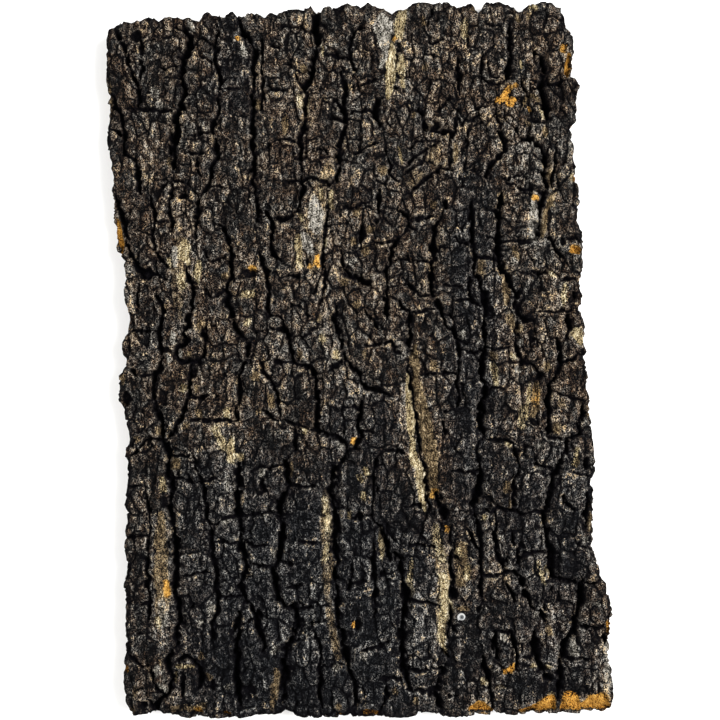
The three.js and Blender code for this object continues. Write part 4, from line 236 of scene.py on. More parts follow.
# Cracks across and between the plates, in the same form.
CRACKS = [
    [1.6, -138.3, 203, -131.2, 205.2], [1.6, -150, 161, -140, 161, -130, 159.8, -118.5, 160.2],
    [1.6, -127, 186.8, -114, 188], [1.8, -105.3, 193.5, -100, 193.5, -95.3, 191.4, -92.8, 190.6],
    [1.6, -102, 206, -95.3, 202.7, -92, 202.3], [1.6, -109.5, 143.5, -103.7, 144.8, -95.3, 145.4],
    [1.6, -112.8, 132.7, -106.2, 131.8, -100, 132.7], [1.6, -105.3, 128.5, -104.5, 121.8, -102, 117.7],
    [1.6, -97, 111, -92, 111.4, -86.2, 110.2], [1.6, -88, 173.5, -79.5, 173.5],
    [1.6, -120, 116, -112.8, 114.3], [1.6, -61, 175, -53, 174, -47.8, 172.7],
    [1.6, -59.5, 136, -55.3, 140.2, -47.8, 141.8, -39, 140], [1.5, -58, 201, -51, 200],
    [1.6, -50, 189, -45, 189.5, -42, 183, -36, 175], [1.5, -50, 214, -43, 213.5, -38, 214],
    [1.6, -23.3, 167.7, -18.3, 168, -15, 166], [1.6, -20, 154.3, -8.8, 153.9],
    [1.6, -5, 158.5, 0, 159.8, 10, 160.2], [1.7, -4.2, 175.6, 1.7, 176.4, 6.7, 178.9, 10, 180.2],
    [1.6, -37.5, 131.8, -30, 134.3, -23.3, 135.2, -20, 132.7],
    [1.8, -47.5, 114.3, -40, 115.2, -30, 116.8, -25, 115.2, -18.3, 112.7],
    [2.2, 3.3, 213, -1.7, 211.4, -5, 206.8, -6.7, 199.3, -5.8, 193.5, -3.3, 187.7],
    [1.6, 42.5, 204.3, 48.3, 203.5, 53.3, 205.2], [1.6, 70, 152.7, 75.8, 156.8],
    [1.6, 95.8, 116.8, 101.7, 118.5], [1.8, -35.4, 172.7, -34.6, 160.2, -35.4, 153],
    [1.6, -62.8, 205, -62.5, 190, -62.8, 175, -63, 160], [1.8, 15.4, 153.5, 20, 150.2, 24.2, 153.5],
    [1.6, -3.3, 131.8, 6.7, 137.7, 10.8, 139.3],
    [2, 14.2, 136, 16.7, 131, 20, 125.2, 19.2, 118.5, 24.2, 114.3], [2, 30, 165.2, 31.7, 160.2],
    [2, 31.7, 126.8, 36.7, 131, 41.7, 135.2, 47.5, 138.5], [2.2, 57.5, 138, 56.7, 126, 58.3, 121.8],
    [2, 46.7, 226, 45, 220.2, 42.5, 214.3], [1.6, 46.3, 199.3, 46.7, 193.5],
    [2, 62.9, 194.3, 63.8, 177.7, 62.9, 171],
    [1.8, 77.5, 199.3, 78.3, 182.7, 80.8, 178.5, 85, 176.8, 91, 176.5],
    [1.8, 81.7, 215.2, 86.7, 213.9, 95, 213], [2.2, 102.5, 179.3, 105, 173.5, 107.5, 169.3],
    [1.8, 117, 176.8, 125, 176.4, 131.7, 179.3], [2, 125, 135.2, 125.8, 126.8, 124.2, 118.5, 123.3, 111],
    [2, -120.2, 114, -121.6, 104, -121.6, 95.2, -120.3, 85.2],
    [2.2, -134, 104, -132.8, 97.7, -131.2, 89.3, -132.4, 80.2, -131.6, 72.7, -130, 67, -126.2, 62.7, -123,
     60], [1.6, -144.5, 83, -138.7, 81.8, -132.4, 80.2], [1.8, -131, 89, -120.8, 88.5],
    [1.6, -142, 48.5, -142.8, 34.3], [1.8, -147, 19.3, -139.5, 18, -128.7, 19],
    [1.7, -140.3, -9.8, -132, -10.7], [1.6, -97.8, 23.5, -91.2, 21.8],
    [1.7, -99.5, 71, -98.7, 66, -94.5, 63, -90.3, 64.3, -83.5, 68],
    [2, -100.3, 44.8, -94.5, 40.2, -90.3, 41.8, -85.5, 46],
    [1.8, -110.3, -24.8, -102.8, -24.4, -97, -22.3, -91.2, -23.6],
    [1.8, -112, -38.2, -102, -38.2, -96.2, -39.4, -89.5, -39.4, -79.5, -39],
    [1.8, -122, -75.7, -112.8, -76, -105.3, -78.6, -101.2, -77.8, -96.2, -76, -90.3, -75.3],
    [1.6, -121, -61.5, -113.7, -62.3, -107, -61],
    [1.6, -118, -138, -109.5, -138.2, -100.3, -136, -96, -137.5],
    [1.8, -96, -104.8, -89.5, -104.4, -85.3, -100.7, -77, -99], [1.7, -94.5, -116, -87, -116, -77.5, -117.3],
    [1.8, -91, -151.2, -85.5, -152, -75, -150.5], [1.6, -78, -169.7, -66, -165],
    [1.8, -113.2, -199.7, -113.9, -214.3], [1.7, -148, -80.7, -138.7, -80.7],
    [1.6, -148, -113.2, -141.2, -114, -135.3, -113.2], [1.6, -140, -156.6, -133.2, -154.3],
    [1.8, -143.2, -175.8, -133.2, -174.3],
    [2.2, -148.5, -189, -143.9, -193.5, -140, -196.2, -133.2, -195.8, -123.2, -193],
    [2.2, -136, -88, -134.5, -99.8, -134.9, -116.5, -136.2, -126.6, -136.2, -137.4, -135, -149, -134.5, -165],
    [2.2, -66.2, 17.7, -61.2, 19.3, -47.7, 19.5], [1.8, -58.3, 28.5, -51.7, 27.7, -48.8, 24],
    [1.8, -55, -1.5, -43.3, -1],
    [2, -63.7, -1.5, -61.2, -8.2, -57, -13.2, -54.5, -19, -52, -24, -51.2, -38.2],
    [1.8, -63, -33, -55, -38.2, -49.2, -39.4, -41.7, -40.7, -35.8, -43.2, -28, -45],
    [2, -69.5, -70.7, -63.7, -69, -52.8, -68.2, -47.5, -67],
    [1.6, -76, -98.5, -67, -99, -59.5, -97.8, -51.7, -96.5], [1.8, -77, -117.3, -67, -118.2, -60.3, -118.2],
    [1.6, -68.7, -130.7, -61.2, -132.3, -55, -132], [1.6, -45, -80.7, -35.8, -81, -27.5, -80.7],
    [1.6, -40, -116, -34.2, -116.5, -28.3, -117], [1.6, -51, -129, -40.8, -130.7, -37, -130],
    [1.6, -46.2, -145.8, -36.9, -145], [1.8, -41, -159.7, -35.4, -159.3, -30.8, -158.2],
    [1.8, -30.8, -169.7, -26.2, -168.2, -23, -166.6],
    [2.3, -28.5, -175.8, -25.4, -183.5, -24.6, -191.2, -26.2, -197, -24.6, -206.6, -26.2, -214.3, -25, -222],
    [2, -26.2, -197, -21.5, -196.2, -17, -195, -8, -195],
    [1.6, -20, 104.3, -20.8, 97.7, -21.7, 81, -23.3, 72.7, -23.8, 64.3, -22.5, 56, -23.3, 46, -24.2, 40.2,
     -26.7, 35.2], [1.6, -49.2, 52.7, -44.2, 54.3, -38, 54],
    [1.6, -44.2, 35.2, -40, 35.2, -35.8, 31, -33, 28], [1.7, -37.5, 14.3, -32.5, 17.7, -26.7, 21, -24, 21.5],
    [1.6, -10.8, 96.8, -1.7, 98.5, 3.3, 101, 11, 101], [1.6, -11.7, 72.7, -11.7, 64.3, -10.8, 58.5],
    [1.6, 0.8, -45.5, 9.2, -46.1], [2.2, -10, -42.3, -11, -50], [1.6, -10, -30.3, 0.5, -29.8],
    [1.6, 13.3, -59.4, 20, -58.6, 28.3, -59.4], [2, -4.6, -129.7, -5.4, -137.4, -7, -147.4],
    [2, -5, -143.9, 1.5, -142.4, 9.4, -141.2], [1.9, 0.8, -186.2, 7.7, -184.7, 13.8, -182.8, 19.2, -180],
    [1.8, 13.8, -205, 20.8, -204, 28, -205.8], [2, 7.5, 76.8, 12.5, 74.3, 17.5, 75.2, 22.5, 76],
    [2, 27.5, 80, 31, 85, 32, 90, 38.3, 91, 48, 92], [2.2, 3.3, 31, 8.3, 25.2, 13.3, 18.5],
    [1.6, 0.8, 9.3, 9.2, 10.2, 20, 11, 23.3, 5.2, 28.3, 3.5], [1.7, 20, 63.5, 30.8, 65.2, 35.8, 63.5, 46, 62],
    [2.2, 29.2, 48.5, 35.8, 43.5, 39.2, 41, 45, 41.8], [1.7, 32, 31, 40, 31, 51, 33],
    [1.6, 31, -5, 32.1, -14, 35.4, -34, 36.3, -44],
    [2.3, 36.3, -44, 37.5, -52.3, 38.8, -60.7, 40.8, -68.2, 42.5, -77.3, 42.9, -87.3, 45.4, -98],
    [1.6, 40, -9, 48.3, -8.2, 62, -8.2], [1.8, 25, -94, 31.7, -94, 42, -92.3],
    [1.6, 30.8, -118.2, 39.2, -118.2, 46.7, -119], [2.2, 30.8, -154.3, 37, -154, 41.5, -155, 45.4, -155.5],
    [2, 30, -199.7, 39.2, -199.3, 45.4, -197.4, 52, -199], [2.2, 30.8, -212, 40.8, -211.6, 46, -212],
    [2, 52, -185.8, 56.5, -190.5], [1.8, 54.2, -32.8, 60.8, -32], [2, 53.3, -39.8, 54.6, -47.3],
    [1.8, 60, -71, 70.8, -71.5, 77, -70],
    [2.2, 58.3, -105.7, 57.9, -114, 58.3, -122.3, 58.2, -130.7, 60.4, -145.8, 60, -153],
    [1.7, 60.8, 78.5, 65.8, 75.2, 72, 74.8], [1.8, 79.8, -48.2, 76, -54, 75, -60, 77.5, -70.7],
    [1.6, 70.8, 52.7, 70, 44.3, 70.8, 40.2], [1.7, 53.8, 48.5, 59.2, 46.8, 65, 46.8],
    [1.8, 62, 38.5, 71.7, 38.5, 79.5, 33], [1.7, 64, 6.8, 70.8, 5.6, 79.5, 5.6],
    [2, 73.7, 66, 80.8, 65.6, 89, 64], [1.6, 82.5, 96.4, 90, 96], [1.6, 80.8, 79.3, 88, 77],
    [2, 80.8, 8.5, 86.7, 6.8, 94.2, 7.7, 100.5, 8.5], [1.6, 81, -18.2, 89.2, -16.5],
    [2.3, 79.8, -50.3, 89.2, -51.1, 98.3, -52.3, 99.2, -55.7],
    [2.1, 99.2, -131, 102.5, -126.5, 105, -123.2, 110.8, -122.8, 121.5, -124],
    [2.3, 78, -137.8, 88, -137.4, 92.7, -136.2, 98.8, -135.8, 103.5, -139, 105, -147.4],
    [2.1, 87, -174.7, 98, -174.3], [1.7, 57.3, -215, 64.2, -215], [2, 132, 77.7, 140, 78.3],
    [1.9, 89, 76, 98.3, 76.8, 105, 75.6, 113, 77.5], [1.7, 128.3, 51, 139, 51.8],
    [1.7, 114.2, 31, 126.7, 31, 137, 32], [1.6, 123, -20.5, 133.3, -23.2, 142.5, -25.7],
    [2, 120.8, -49.5, 133.3, -50.7], [2.2, 124.2, -140, 128, -140.5, 133.5, -142, 139.6, -142, 151, -143.5],
    [1.6, 136.7, -72.3, 146, -74], [2, 144.5, -60, 145, -69], [1.6, 139.2, -118.2, 145.5, -120.2],
    [2, 123.5, -143, 121, -150, 118, -160], [2.3, 137.5, -170.5, 150.4, -171.2, 156, -172],
    [1.6, 130, -190.6, 140.4, -191.2, 147, -191],
]

# Pockets where a piece of bark is gone: x, y, half width, half length and depth.
POCKETS = [
    [-143.5, 207, 4, 4, 5], [-88, 178, 2.5, 3, 6], [-126, 112, 2.6, 2.2, 5], [-112.5, 105, 3.2, 2.4, 6],
    [-135.5, 55.2, 5, 3, 8], [-71.5, 54.5, 5.5, 3, 6], [-150, -24.5, 4, 5.5, 9], [-145.5, -7, 2.5, 4.5, 8],
    [-126.5, -26, 4, 6, 4], [-110, 25, 3.2, 4, 7], [-124, 6.8, 3.8, 2.6, 6], [-107, -8, 3, 7, 5],
    [-62, -80.5, 2.8, 6, 4], [-125, -91, 4, 3.6, 4], [-107.5, -158.5, 3.6, 3.2, 5], [-93, -208.5, 5, 3.4, 5],
    [-94.7, -177, 4, 3, 4], [-71, -213, 6, 4.5, 4], [-139, -221, 6, 2.2, 6], [-2, -170, 2, 4.5, 5],
    [8.5, -126, 3, 4.5, 4], [64, 154, 4, 5, 6], [48.5, 151, 5, 3.4, 6], [55.2, 99, 2, 4.2, 7],
    [111, 156, 5, 5, 4.5], [101.5, 32, 3.4, 4.6, 5], [110, 12, 3.5, 7, 4.5], [114.5, -12, 4, 3.6, 7],
    [98.3, -4.8, 2, 2, 4], [105, -60, 4.5, 9, 3.5], [93, -86.5, 2.8, 1.8, 3.5], [103.3, -119, 2, 2, 4],
    [103.7, -140.5, 3, 2.6, 6], [106, -191.5, 3.2, 2.2, 6], [107.5, -72.3, 2.2, 2, 5], [112, -40, 3, 2.6, 5],
    [147, -115.5, 1.8, 2.4, 3], [62, -126.5, 1.8, 1.8, 3.5], [60, -149.5, 2.4, 4.6, 5],
    [75.8, -159, 2.6, 2.6, 5], [54, -199.5, 4.5, 4.5, 9], [47, -212, 4.4, 5, 8], [60.5, -173, 3.4, 4, 5],
    [-12, 13, 2.2, 5, 8], [130, 75, 3, 3, 4],
]

# Patches of another colour: x, y, half width, half length, tilt in degrees and strength of each. Streaks of
# another colour: a strength, then x, y and half width at each point along it.

# Bared inner fibres, cream to yellow.
STRAW = [
    (67, 212.7, 3, 7, 0, 0.6), (110.4, 226, 3, 2.5, 0, 0.7), (136.3, 116.8, 1.8, 3.5, 0, 0.8),
    (-122, 62.5, 2, 3, 0, 0.6), (-114, 50, 2.5, 6, 0, 0.6), (-72, 42.5, 5, 2.6, 0, 0.6),
    (-72, 24, 2, 3, 0, 0.7), (-113.7, -18, 2, 3, 0, 0.7), (-39, 64, 2, 3, 0, 0.7), (-15, 3, 2.5, 4, 0, 0.6),
    (-24, 14, 2, 3, 0, 0.6), (131, 42, 2, 8, 0, 0.6), (123.5, 55, 2, 2.5, 0, 0.6), (98, 2.7, 2, 2, 0, 0.7),
    (-90, -50, 3, 9, 25, 0.65), (-82.5, -58, 2.4, 8, 0, 0.95), (-76.5, -62, 2, 3, 0, 0.7),
    (-85, -35, 2.4, 4, 0, 0.7), (4, -71, 2, 3, 0, 0.7), (0, -75.5, 2, 2.5, 0, 0.6),
    (2.5, -86.5, 2, 3, 0, 0.7), (-7, -98.5, 2, 3, 0, 0.6), (14, -117, 2, 11, 0, 0.6),
    (32, -140, 2.6, 12.5, 0, 0.5), (-36, -46, 2, 3, 0, 0.6), (95, -54, 2, 2.5, 0, 0.6),
    (79.5, -100.7, 2, 2, 0, 0.7), (63.5, -123.5, 2.5, 2.5, 0, 0.9), (68.5, -136, 2.2, 5, 0, 0.8),
    (120, -134, 2, 2.5, 0, 0.6), (111, -196, 2.5, 1.5, 0, 0.6), (120.8, -196, 2, 1.6, 0, 0.6),
    (116, -136.5, 1.6, 9, 19, 0.5), (79.6, -206, 2, 2.5, 0, 0.7), (122.5, -213.6, 2.2, 1.6, 0, 0.9),
]
STRAW_STREAKS = [
    (1, 30, -9, 0.5, 30.8, -18, 1.5, 32, -30, 2.3, 32.5, -40, 2.8, 33, -46, 2.4),
    (0.95, 33, -50, 1.8, 33.5, -58, 2.2, 34, -64, 3, 38, -69, 2.6, 39.5, -78, 3, 39, -88, 2.4,
     42, -97, 0.8),
    (1, 21, 203, 1.2, 20.5, 194, 2.6, 20, 188, 3.3, 19.5, 180, 3.3, 18.5, 173, 2, 18, 167, 0.8),
    (0.9, 27, 225, 2.6, 25.5, 214, 3.6, 25, 208, 2.4),
    (0.8, 25.5, 194, 2, 26, 188, 3, 27, 182, 2.2, 27.5, 175, 1.4),
    (0.9, -112, 76, 1.5, -112, 72, 4, -113, 67, 3.5, -110, 63, 2),
    (0.75, -103, 63, 1.2, -104, 56, 2.4, -104, 50, 1.4), (0.6, -38, 92, 1.5, -37, 88, 1),
    (0.7, -39, 79, 2, -39.5, 73, 3, -39, 66, 1.5, -38, 60, 1.5), (0.7, -24.5, 110, 1.4, -25, 103, 1.7),
    (0.7, -18, 108, 1.4, -19, 101, 1.7, -17.5, 97, 1.4), (0.9, -21.5, 78, 1.1, -22.5, 73, 1.2),
    (0.85, 108.5, -15, 0.8, 107.5, -25, 1, 107, -33, 1.2, 106.5, -39, 1),
    (0.5, 103.5, -31, 2.5, 104, -42, 3), (0.6, 85, -3, 2.4, 86, -10, 2.4, 87, -15, 1.4),
    (0.7, 139.5, -57, 1.5, 139, -64, 2.4, 138, -67, 2), (1, 139, 17, 3.4, 141.5, 12, 2.4),
    (0.9, 103, 191.5, 1.2, 103, 187.5, 1), (0.85, 116, 161, 1.5, 117.5, 158, 1.5, 118, 155, 1.1),
    (0.8, -24, 201, 0.9, -24, 195, 0.7), (0.5, -38, 163, 2.4, -39, 168, 2.4),
    (0.65, -33.5, 168, 0.8, -33.5, 158, 0.8), (0.8, 25, 136, 0.9, 27.5, 126, 0.8),
    (0.85, 52.5, -138, 2.6, 54.3, -144, 3.4, 54.6, -152, 3.2, 56, -160, 4.4),
    (0.75, 53, -164, 3.2, 52, -172, 3, 52.5, -180, 2.4, 55, -188, 1),
    (0.5, 48.5, -107, 2, 50.5, -120, 2.6, 53, -128, 2.6),
    (0.5, -23, -88, 1.6, -21.5, -98, 2.4, -20.5, -104, 2.4, -20.5, -112, 2),
    (0.5, -21, -118, 2, -22, -127, 2.5), (0.5, -129.5, -166, 2.2, -129.5, -170, 1.8),
    (0.6, -127, -76, 1.8, -126, -84, 2.2), (0.7, -117, -196, 1.3, -107, -196.5, 1.3),
    (0.65, -118, -199, 1.3, -118, -207, 1),
]

# Bleached or lichen-grey bark.
CHALK = [
    (-108.7, 212.7, 3, 3, 0, 0.7), (-131, 171, 2.5, 4, 0, 0.5), (-128.7, 162.7, 2.5, 3, 0, 0.5),
    (-74.5, 198, 2.5, 4.2, 0, 0.6), (93.5, 201.6, 1.4, 1.6, 0, 1), (104.5, 126, 12.5, 14, 0, 0.25),
    (-115.3, 4.3, 2, 2, 0, 0.7), (-122.8, 1, 2, 2, 0, 0.6), (-75.3, -2.3, 2, 2.4, 0, 0.6),
    (-119.5, 14, 2, 4.5, 0, 0.7), (15.5, 22, 2, 6, -35, 0.45), (101.4, -6.2, 1.8, 2.2, 0, 1),
    (102.5, 12, 2.2, 2.4, 0, 0.8), (98.5, 63, 2.5, 3, 0, 0.5), (65, 16, 2.5, 3, 0, 0.6),
    (75.8, 11.8, 2, 2, 0, 0.6), (-54.5, -123.5, 2.5, 3, 0, 0.6), (-63, -72, 2.5, 3, 0, 0.6),
    (-75.3, -119.5, 2.5, 3, 0, 0.6), (-12.5, -55, 2.5, 3, 0, 0.6), (0, -44.5, 2.5, 2.5, 0, 0.6),
    (145, -115, 2, 2.5, 0, 0.6), (-102, -168, 2.2, 1.6, 0, 0.8), (-95.5, -160.5, 2.5, 4, 0, 0.6),
    (-112.5, -162.8, 2, 2, 0, 0.6), (-82, -146, 2, 2.5, 0, 0.6), (-54, -186, 3, 3, 0, 0.6),
    (-84.5, -209, 2.4, 2.4, 0, 0.6), (-16, -197, 2.2, 2.6, 0, 0.6), (2.5, -189.5, 2.2, 2.6, 0, 0.6),
    (92.3, -177.4, 2.2, 2.4, 0, 0.7), (112.7, -163.5, 2.2, 2.4, 0, 0.6), (152.3, -156, 2, 2.4, 0, 0.6),
    (125.8, -183.5, 2, 2.4, 0, 0.6), (136.5, -184.5, 3, 5.6, 0, 0.6), (90.8, -209, 2.4, 2.6, 0, 0.5),
    (-12, 166, 1.8, 2, 0, 0.6), (115, -54.5, 2.6, 2, 0, 0.6), (117.6, -108, 1.4, 2, 0, 0.8),
    (117.6, -116, 1.4, 2, 0, 0.6), (-85, -80, 1.6, 4, 0, 0.7), (-86, -104, 2.2, 1.8, 0, 0.8),
    (-5, 63, 3.4, 3.4, 0, 0.6),
]
CHALK_STREAKS = [
    (0.5, -127, -155, 2.6, -126, -162, 3.6, -125, -170, 2.8),
    (0.8, 9, 214, 1.2, 11, 210, 1.8, 13, 206, 2.2, 15.5, 200, 2.2, 17, 194, 1.6, 13, 188, 1.2),
    (1, 14, 219, 2.4, 16.5, 215, 4, 17, 208, 3, 18, 201, 1.6),
    (0.85, -119, 71, 1.8, -118.5, 66, 2.4, -119, 61, 1.6),
    (0.7, -29, 104, 1.6, -29, 99, 3.6, -28, 93, 5, -28, 86, 4.4, -27, 82, 2),
    (0.7, -36, 80, 2.4, -34, 75, 4.4, -32, 70, 3), (1, 111.5, 101, 2, 112, 95, 3, 112, 88, 3, 111, 78, 2.6),
    (0.6, 112, 76, 1.4, 113, 72, 1.2), (1, -130, -197, 1.7, -131, -201.5, 1.4),
    (1, -128.5, -207.5, 1.4, -124.5, -211, 1.5), (0.8, -127, -199.5, 0.9, -124.5, -205, 0.8),
    (0.5, 109, 174, 0.8, 110, 176.5, 0.8, 112.5, 176.6, 0.8, 114.4, 174.6, 0.8, 113.6, 172, 0.8,
     111, 171.3, 0.8), (0.5, 112, -69.6, 0.8, 119, -70.2, 0.8, 121, -76, 0.9, 120.5, -84, 0.9),
    (0.5, 107, 139.5, 1.2, 113, 136.5, 1.4, 116.5, 131, 1.1),
    (0.45, 157, -180, 1.4, 158.5, -195, 2.4, 160, -210, 2.2),
]

# Weathered tan bark.
TAN = [
    (100.8, 218.6, 1.8, 2.6, 0, 0.9), (72, 225.6, 2.4, 2, 0, 0.8), (107, 152, 2, 3, 20, 0.5),
    (122, 117, 1.5, 5, 0, 0.8), (60.8, 132.7, 1.6, 7, 0, 0.7), (118.6, 145.5, 1.5, 3.4, 0, 0.9),
    (-65, 164, 1.8, 3.5, 0, 0.7), (-122.4, 127, 1.6, 3, 0, 0.7), (-160.3, 164, 1.2, 14, 0, 0.8),
    (-101, 22, 3, 2.6, 0, 0.7), (-109.5, 3.5, 2, 2, 0, 0.7), (-87, 52.7, 2, 2.4, 0, 0.7),
    (-67, -10.7, 3, 3, 0, 0.7), (-152, -13, 2, 4, 0, 0.6), (-105, -19, 2, 3, 0, 0.6),
    (3.6, 70, 2.8, 3.2, 0, 0.8), (6.5, 84, 2.4, 2.6, 0, 0.9), (46.5, 100, 2.5, 3.5, 0, 0.7),
    (-2.5, 35, 2, 3, 0, 0.6), (-26.7, 27, 2, 3, 0, 0.6), (-38.5, 3.5, 2, 3, 0, 0.6), (2.5, 4, 2, 3, 0, 0.6),
    (35, 4, 2, 3, 0, 0.8), (47, -3.7, 2, 3, 0, 0.8), (101, 20, 3.4, 2.6, 0, 0.7), (78, 60, 3, 5, 0, 0.5),
    (120, -5, 2.8, 3.2, 0, 0.6), (-127, -79, 2, 4, 0, 0.5), (-129.5, -45, 2, 3, 0, 0.6),
    (-118, -67, 3, 3.4, 0, 0.7), (-103, -34, 2.5, 3.5, 0, 0.7), (-65, -33, 2, 3, 0, 0.6),
    (-111.5, -42, 2, 3, 0, 0.6), (-143, -51, 2, 3, 0, 0.6), (-57, -26.5, 2.5, 5, 0, 0.8),
    (-44, -69.5, 1.6, 6, 0, 0.6), (126, -43, 2.8, 3.4, 0, 0.6), (130, -28, 2.6, 4, 0, 0.5),
    (147.4, -104, 1.5, 6, 0, 0.8), (94.4, -81.5, 2.4, 4, 0, 0.9), (96.3, -92, 1.8, 3.4, 0, 0.7),
    (-144, -212, 2.4, 4, 0, 0.5), (-101.5, -189, 2, 3, 0, 0.6), (22.5, -212, 2, 3, 0, 0.6),
    (35.5, -218.5, 2, 3, 0, 0.6), (-14, -222, 2, 3, 0, 0.6), (66, -158.6, 4.6, 1.8, 0, 0.8),
    (120.8, -173, 2.4, 3.4, 0, 0.7), (-97, -202.5, 3.4, 2, -35, 0.7), (-147, -225, 2.6, 2.4, 0, 0.9),
    (-1.4, 94.5, 2.6, 3, 0, 0.7), (-4, 76, 2.2, 3, 0, 0.7), (-10, 50, 2.4, 2.6, 0, 0.7),
    (14.5, 121.5, 3.2, 3.4, 0, 0.6), (40, 217, 1.8, 3.6, 0, 0.8), (-47.8, 150, 2.2, 6, 0, 0.8),
    (-36, 187, 2.4, 2.6, 0, 0.8), (34.8, 157, 1.5, 2, 0, 0.8), (41, 187, 2.4, 2.8, 0, 0.6),
    (99.8, 68, 2, 5.6, 8, 0.6), (96.5, 25, 2.6, 5, 10, 0.6), (85.5, 3, 2.6, 3, 0, 0.6),
    (90.5, -209.2, 3, 1.5, 0, 0.8), (47, 130, 5, 8, -10, 0.36), (35.5, 116, 4.5, 7, -35, 0.36),
    (108.2, 220, 2.2, 3.2, 0, 0.7),
]
TAN_STREAKS = [
    (0.85, 35.5, 9, 1.4, 34.5, 2, 2.8, 36, -6, 2, 35.5, -14, 2.4, 38, -24, 3.5, 40.5, -36, 4.3),
    (1, 40.5, -36, 4.3, 43, -48, 4.3, 45, -60, 4.3, 46, -72, 4, 46, -80, 3.4, 45, -86, 2.6),
    (0.7, -54, -198, 1.5, -53, -203, 2.5, -54.5, -212, 3, -56, -222, 2),
    (0.85, 123, 104, 2, 119.5, 96, 1.5, 118.5, 90, 1.9, 117, 84, 2.2, 116.5, 79, 1.5),
    (0.9, 105, 164, 1.1, 106.5, 168, 1.2, 110, 169.5, 1.4, 114, 166.5, 1.2),
    (0.9, 93, 51, 1.8, 94, 44, 2.6, 93.5, 37, 1.9),
    (0.6, 65, -120, 4, 64, -128, 4.4, 66, -136, 5.4, 64, -143, 3.4),
    (0.95, 113, -16, 2, 112.5, -24, 2.8, 112.5, -31, 2.4, 110.5, -35, 2),
    (0.42, -22, -84, 2.4, -21.5, -98, 3.8, -21.5, -114, 4.6, -21, -134, 3.8, -21, -150, 2.4,
     -18, -174, 2.6), (0.42, -115, 76, 4, -117, 62, 5, -116.5, 46, 4, -117, 28, 3.4),
    (0.42, -20, 124, 3, -26, 106, 4.5, -29, 90, 7, -31, 74, 6, -29, 60, 4),
    (0.42, 47.5, -106, 2.6, 49, -114, 3.6, 52, -126, 4, 54, -146, 5, 52, -176, 4),
    (0.6, -127, -98, 2, -128, -112, 4, -127, -122, 4.5, -127, -136, 4.5, -127, -148, 4.8, -127, -162, 4),
    (0.6, -120, -223, 2.4, -112, -222, 2.4, -104, -224, 2.6, -99, -220, 2.2),
    (0.5, -18, -170, 2, -16, -180, 3, -14.5, -190, 2.6),
]

# Golden cork that shows where the crust has broken off.
RUST = [
    (130, 200, 2.4, 3, 0, 0.6), (-77.4, 206, 1.4, 1.8, 0, 0.9), (-69.5, 58.5, 2.8, 2, 0, 0.7),
    (137.5, 71, 3.2, 2.8, 0, 1), (-4, -51.5, 1.8, 2.2, 0, 0.9), (47.5, -85, 3, 3, 0, 0.5),
    (55.5, -108, 1.8, 3, 0, 0.6), (159.2, -171, 1.8, 4.6, 0, 0.9), (-4.2, -169.7, 1.4, 2, 0, 0.9),
    (6.5, -226.6, 6, 2, 0, 0.8), (-13, -227.3, 2.5, 1.6, 0, 0.8), (-104, -225, 3, 2.2, 0, 0.7),
    (-85, -226.6, 2, 1.8, 0, 0.8), (-150, -198, 1.5, 2.4, 0, 0.9), (112, 103.6, 2, 1.8, 0, 0.9),
    (108.4, 160, 1.6, 1.8, 0, 0.7), (112.5, -24, 2.4, 8, 0, 0.35), (22, 206.5, 1, 3, 0, 0.6),
    (137.6, 117, 1, 3, 0, 0.7), (-32.6, 60.5, 1.6, 1.3, 0, 0.5),
]
RUST_STREAKS = [
    (0.9, 87.5, 167, 1.2, 90, 166.5, 1.6, 92, 169, 1.8, 94.5, 172, 2),
    (0.95, 93, 167.5, 1.6, 96, 167.5, 1.4, 98.5, 166.5, 1.8), (0.9, 94.5, 164, 1.4, 97.5, 163.2, 1.2),
    (0.5, 95.5, 174.5, 1.6, 99.5, 175.5, 2), (1, 133.8, 195, 1.4, 133.5, 189, 2.2, 132.5, 183, 1.5),
    (0.8, -27, 67, 1.2, -28, 63, 2, -26.5, 60, 1.3),
    (1, -156, 89, 1.5, -155, 82, 2.4, -154, 76, 2.8, -153.5, 69, 1.6),
    (0.75, -124.5, -142, 2, -123.6, -150, 2), (0.95, 93, -199.5, 1.6, 96.5, -198, 2.4, 99, -195, 1.1),
    (1, 72, -223.5, 2, 77, -222.5, 3.8, 80, -224.5, 3.2, 85, -226, 1.6),
    (1, 103, -225, 1, 107, -224, 1.7, 112, -222.4, 2.2, 117, -221.5, 3.8, 121, -219, 4.4, 123, -215.5, 2,
     124, -222.5, 1.2), (1, 129.5, -222.5, 1.5, 133, -219, 4, 134.5, -216, 4.6, 138, -221, 3.2),
    (1, 140.5, -221.5, 2, 144.5, -221.5, 3.4, 150, -219.5, 5.4, 154, -219, 5.6, 158.5, -222, 2.4),
]

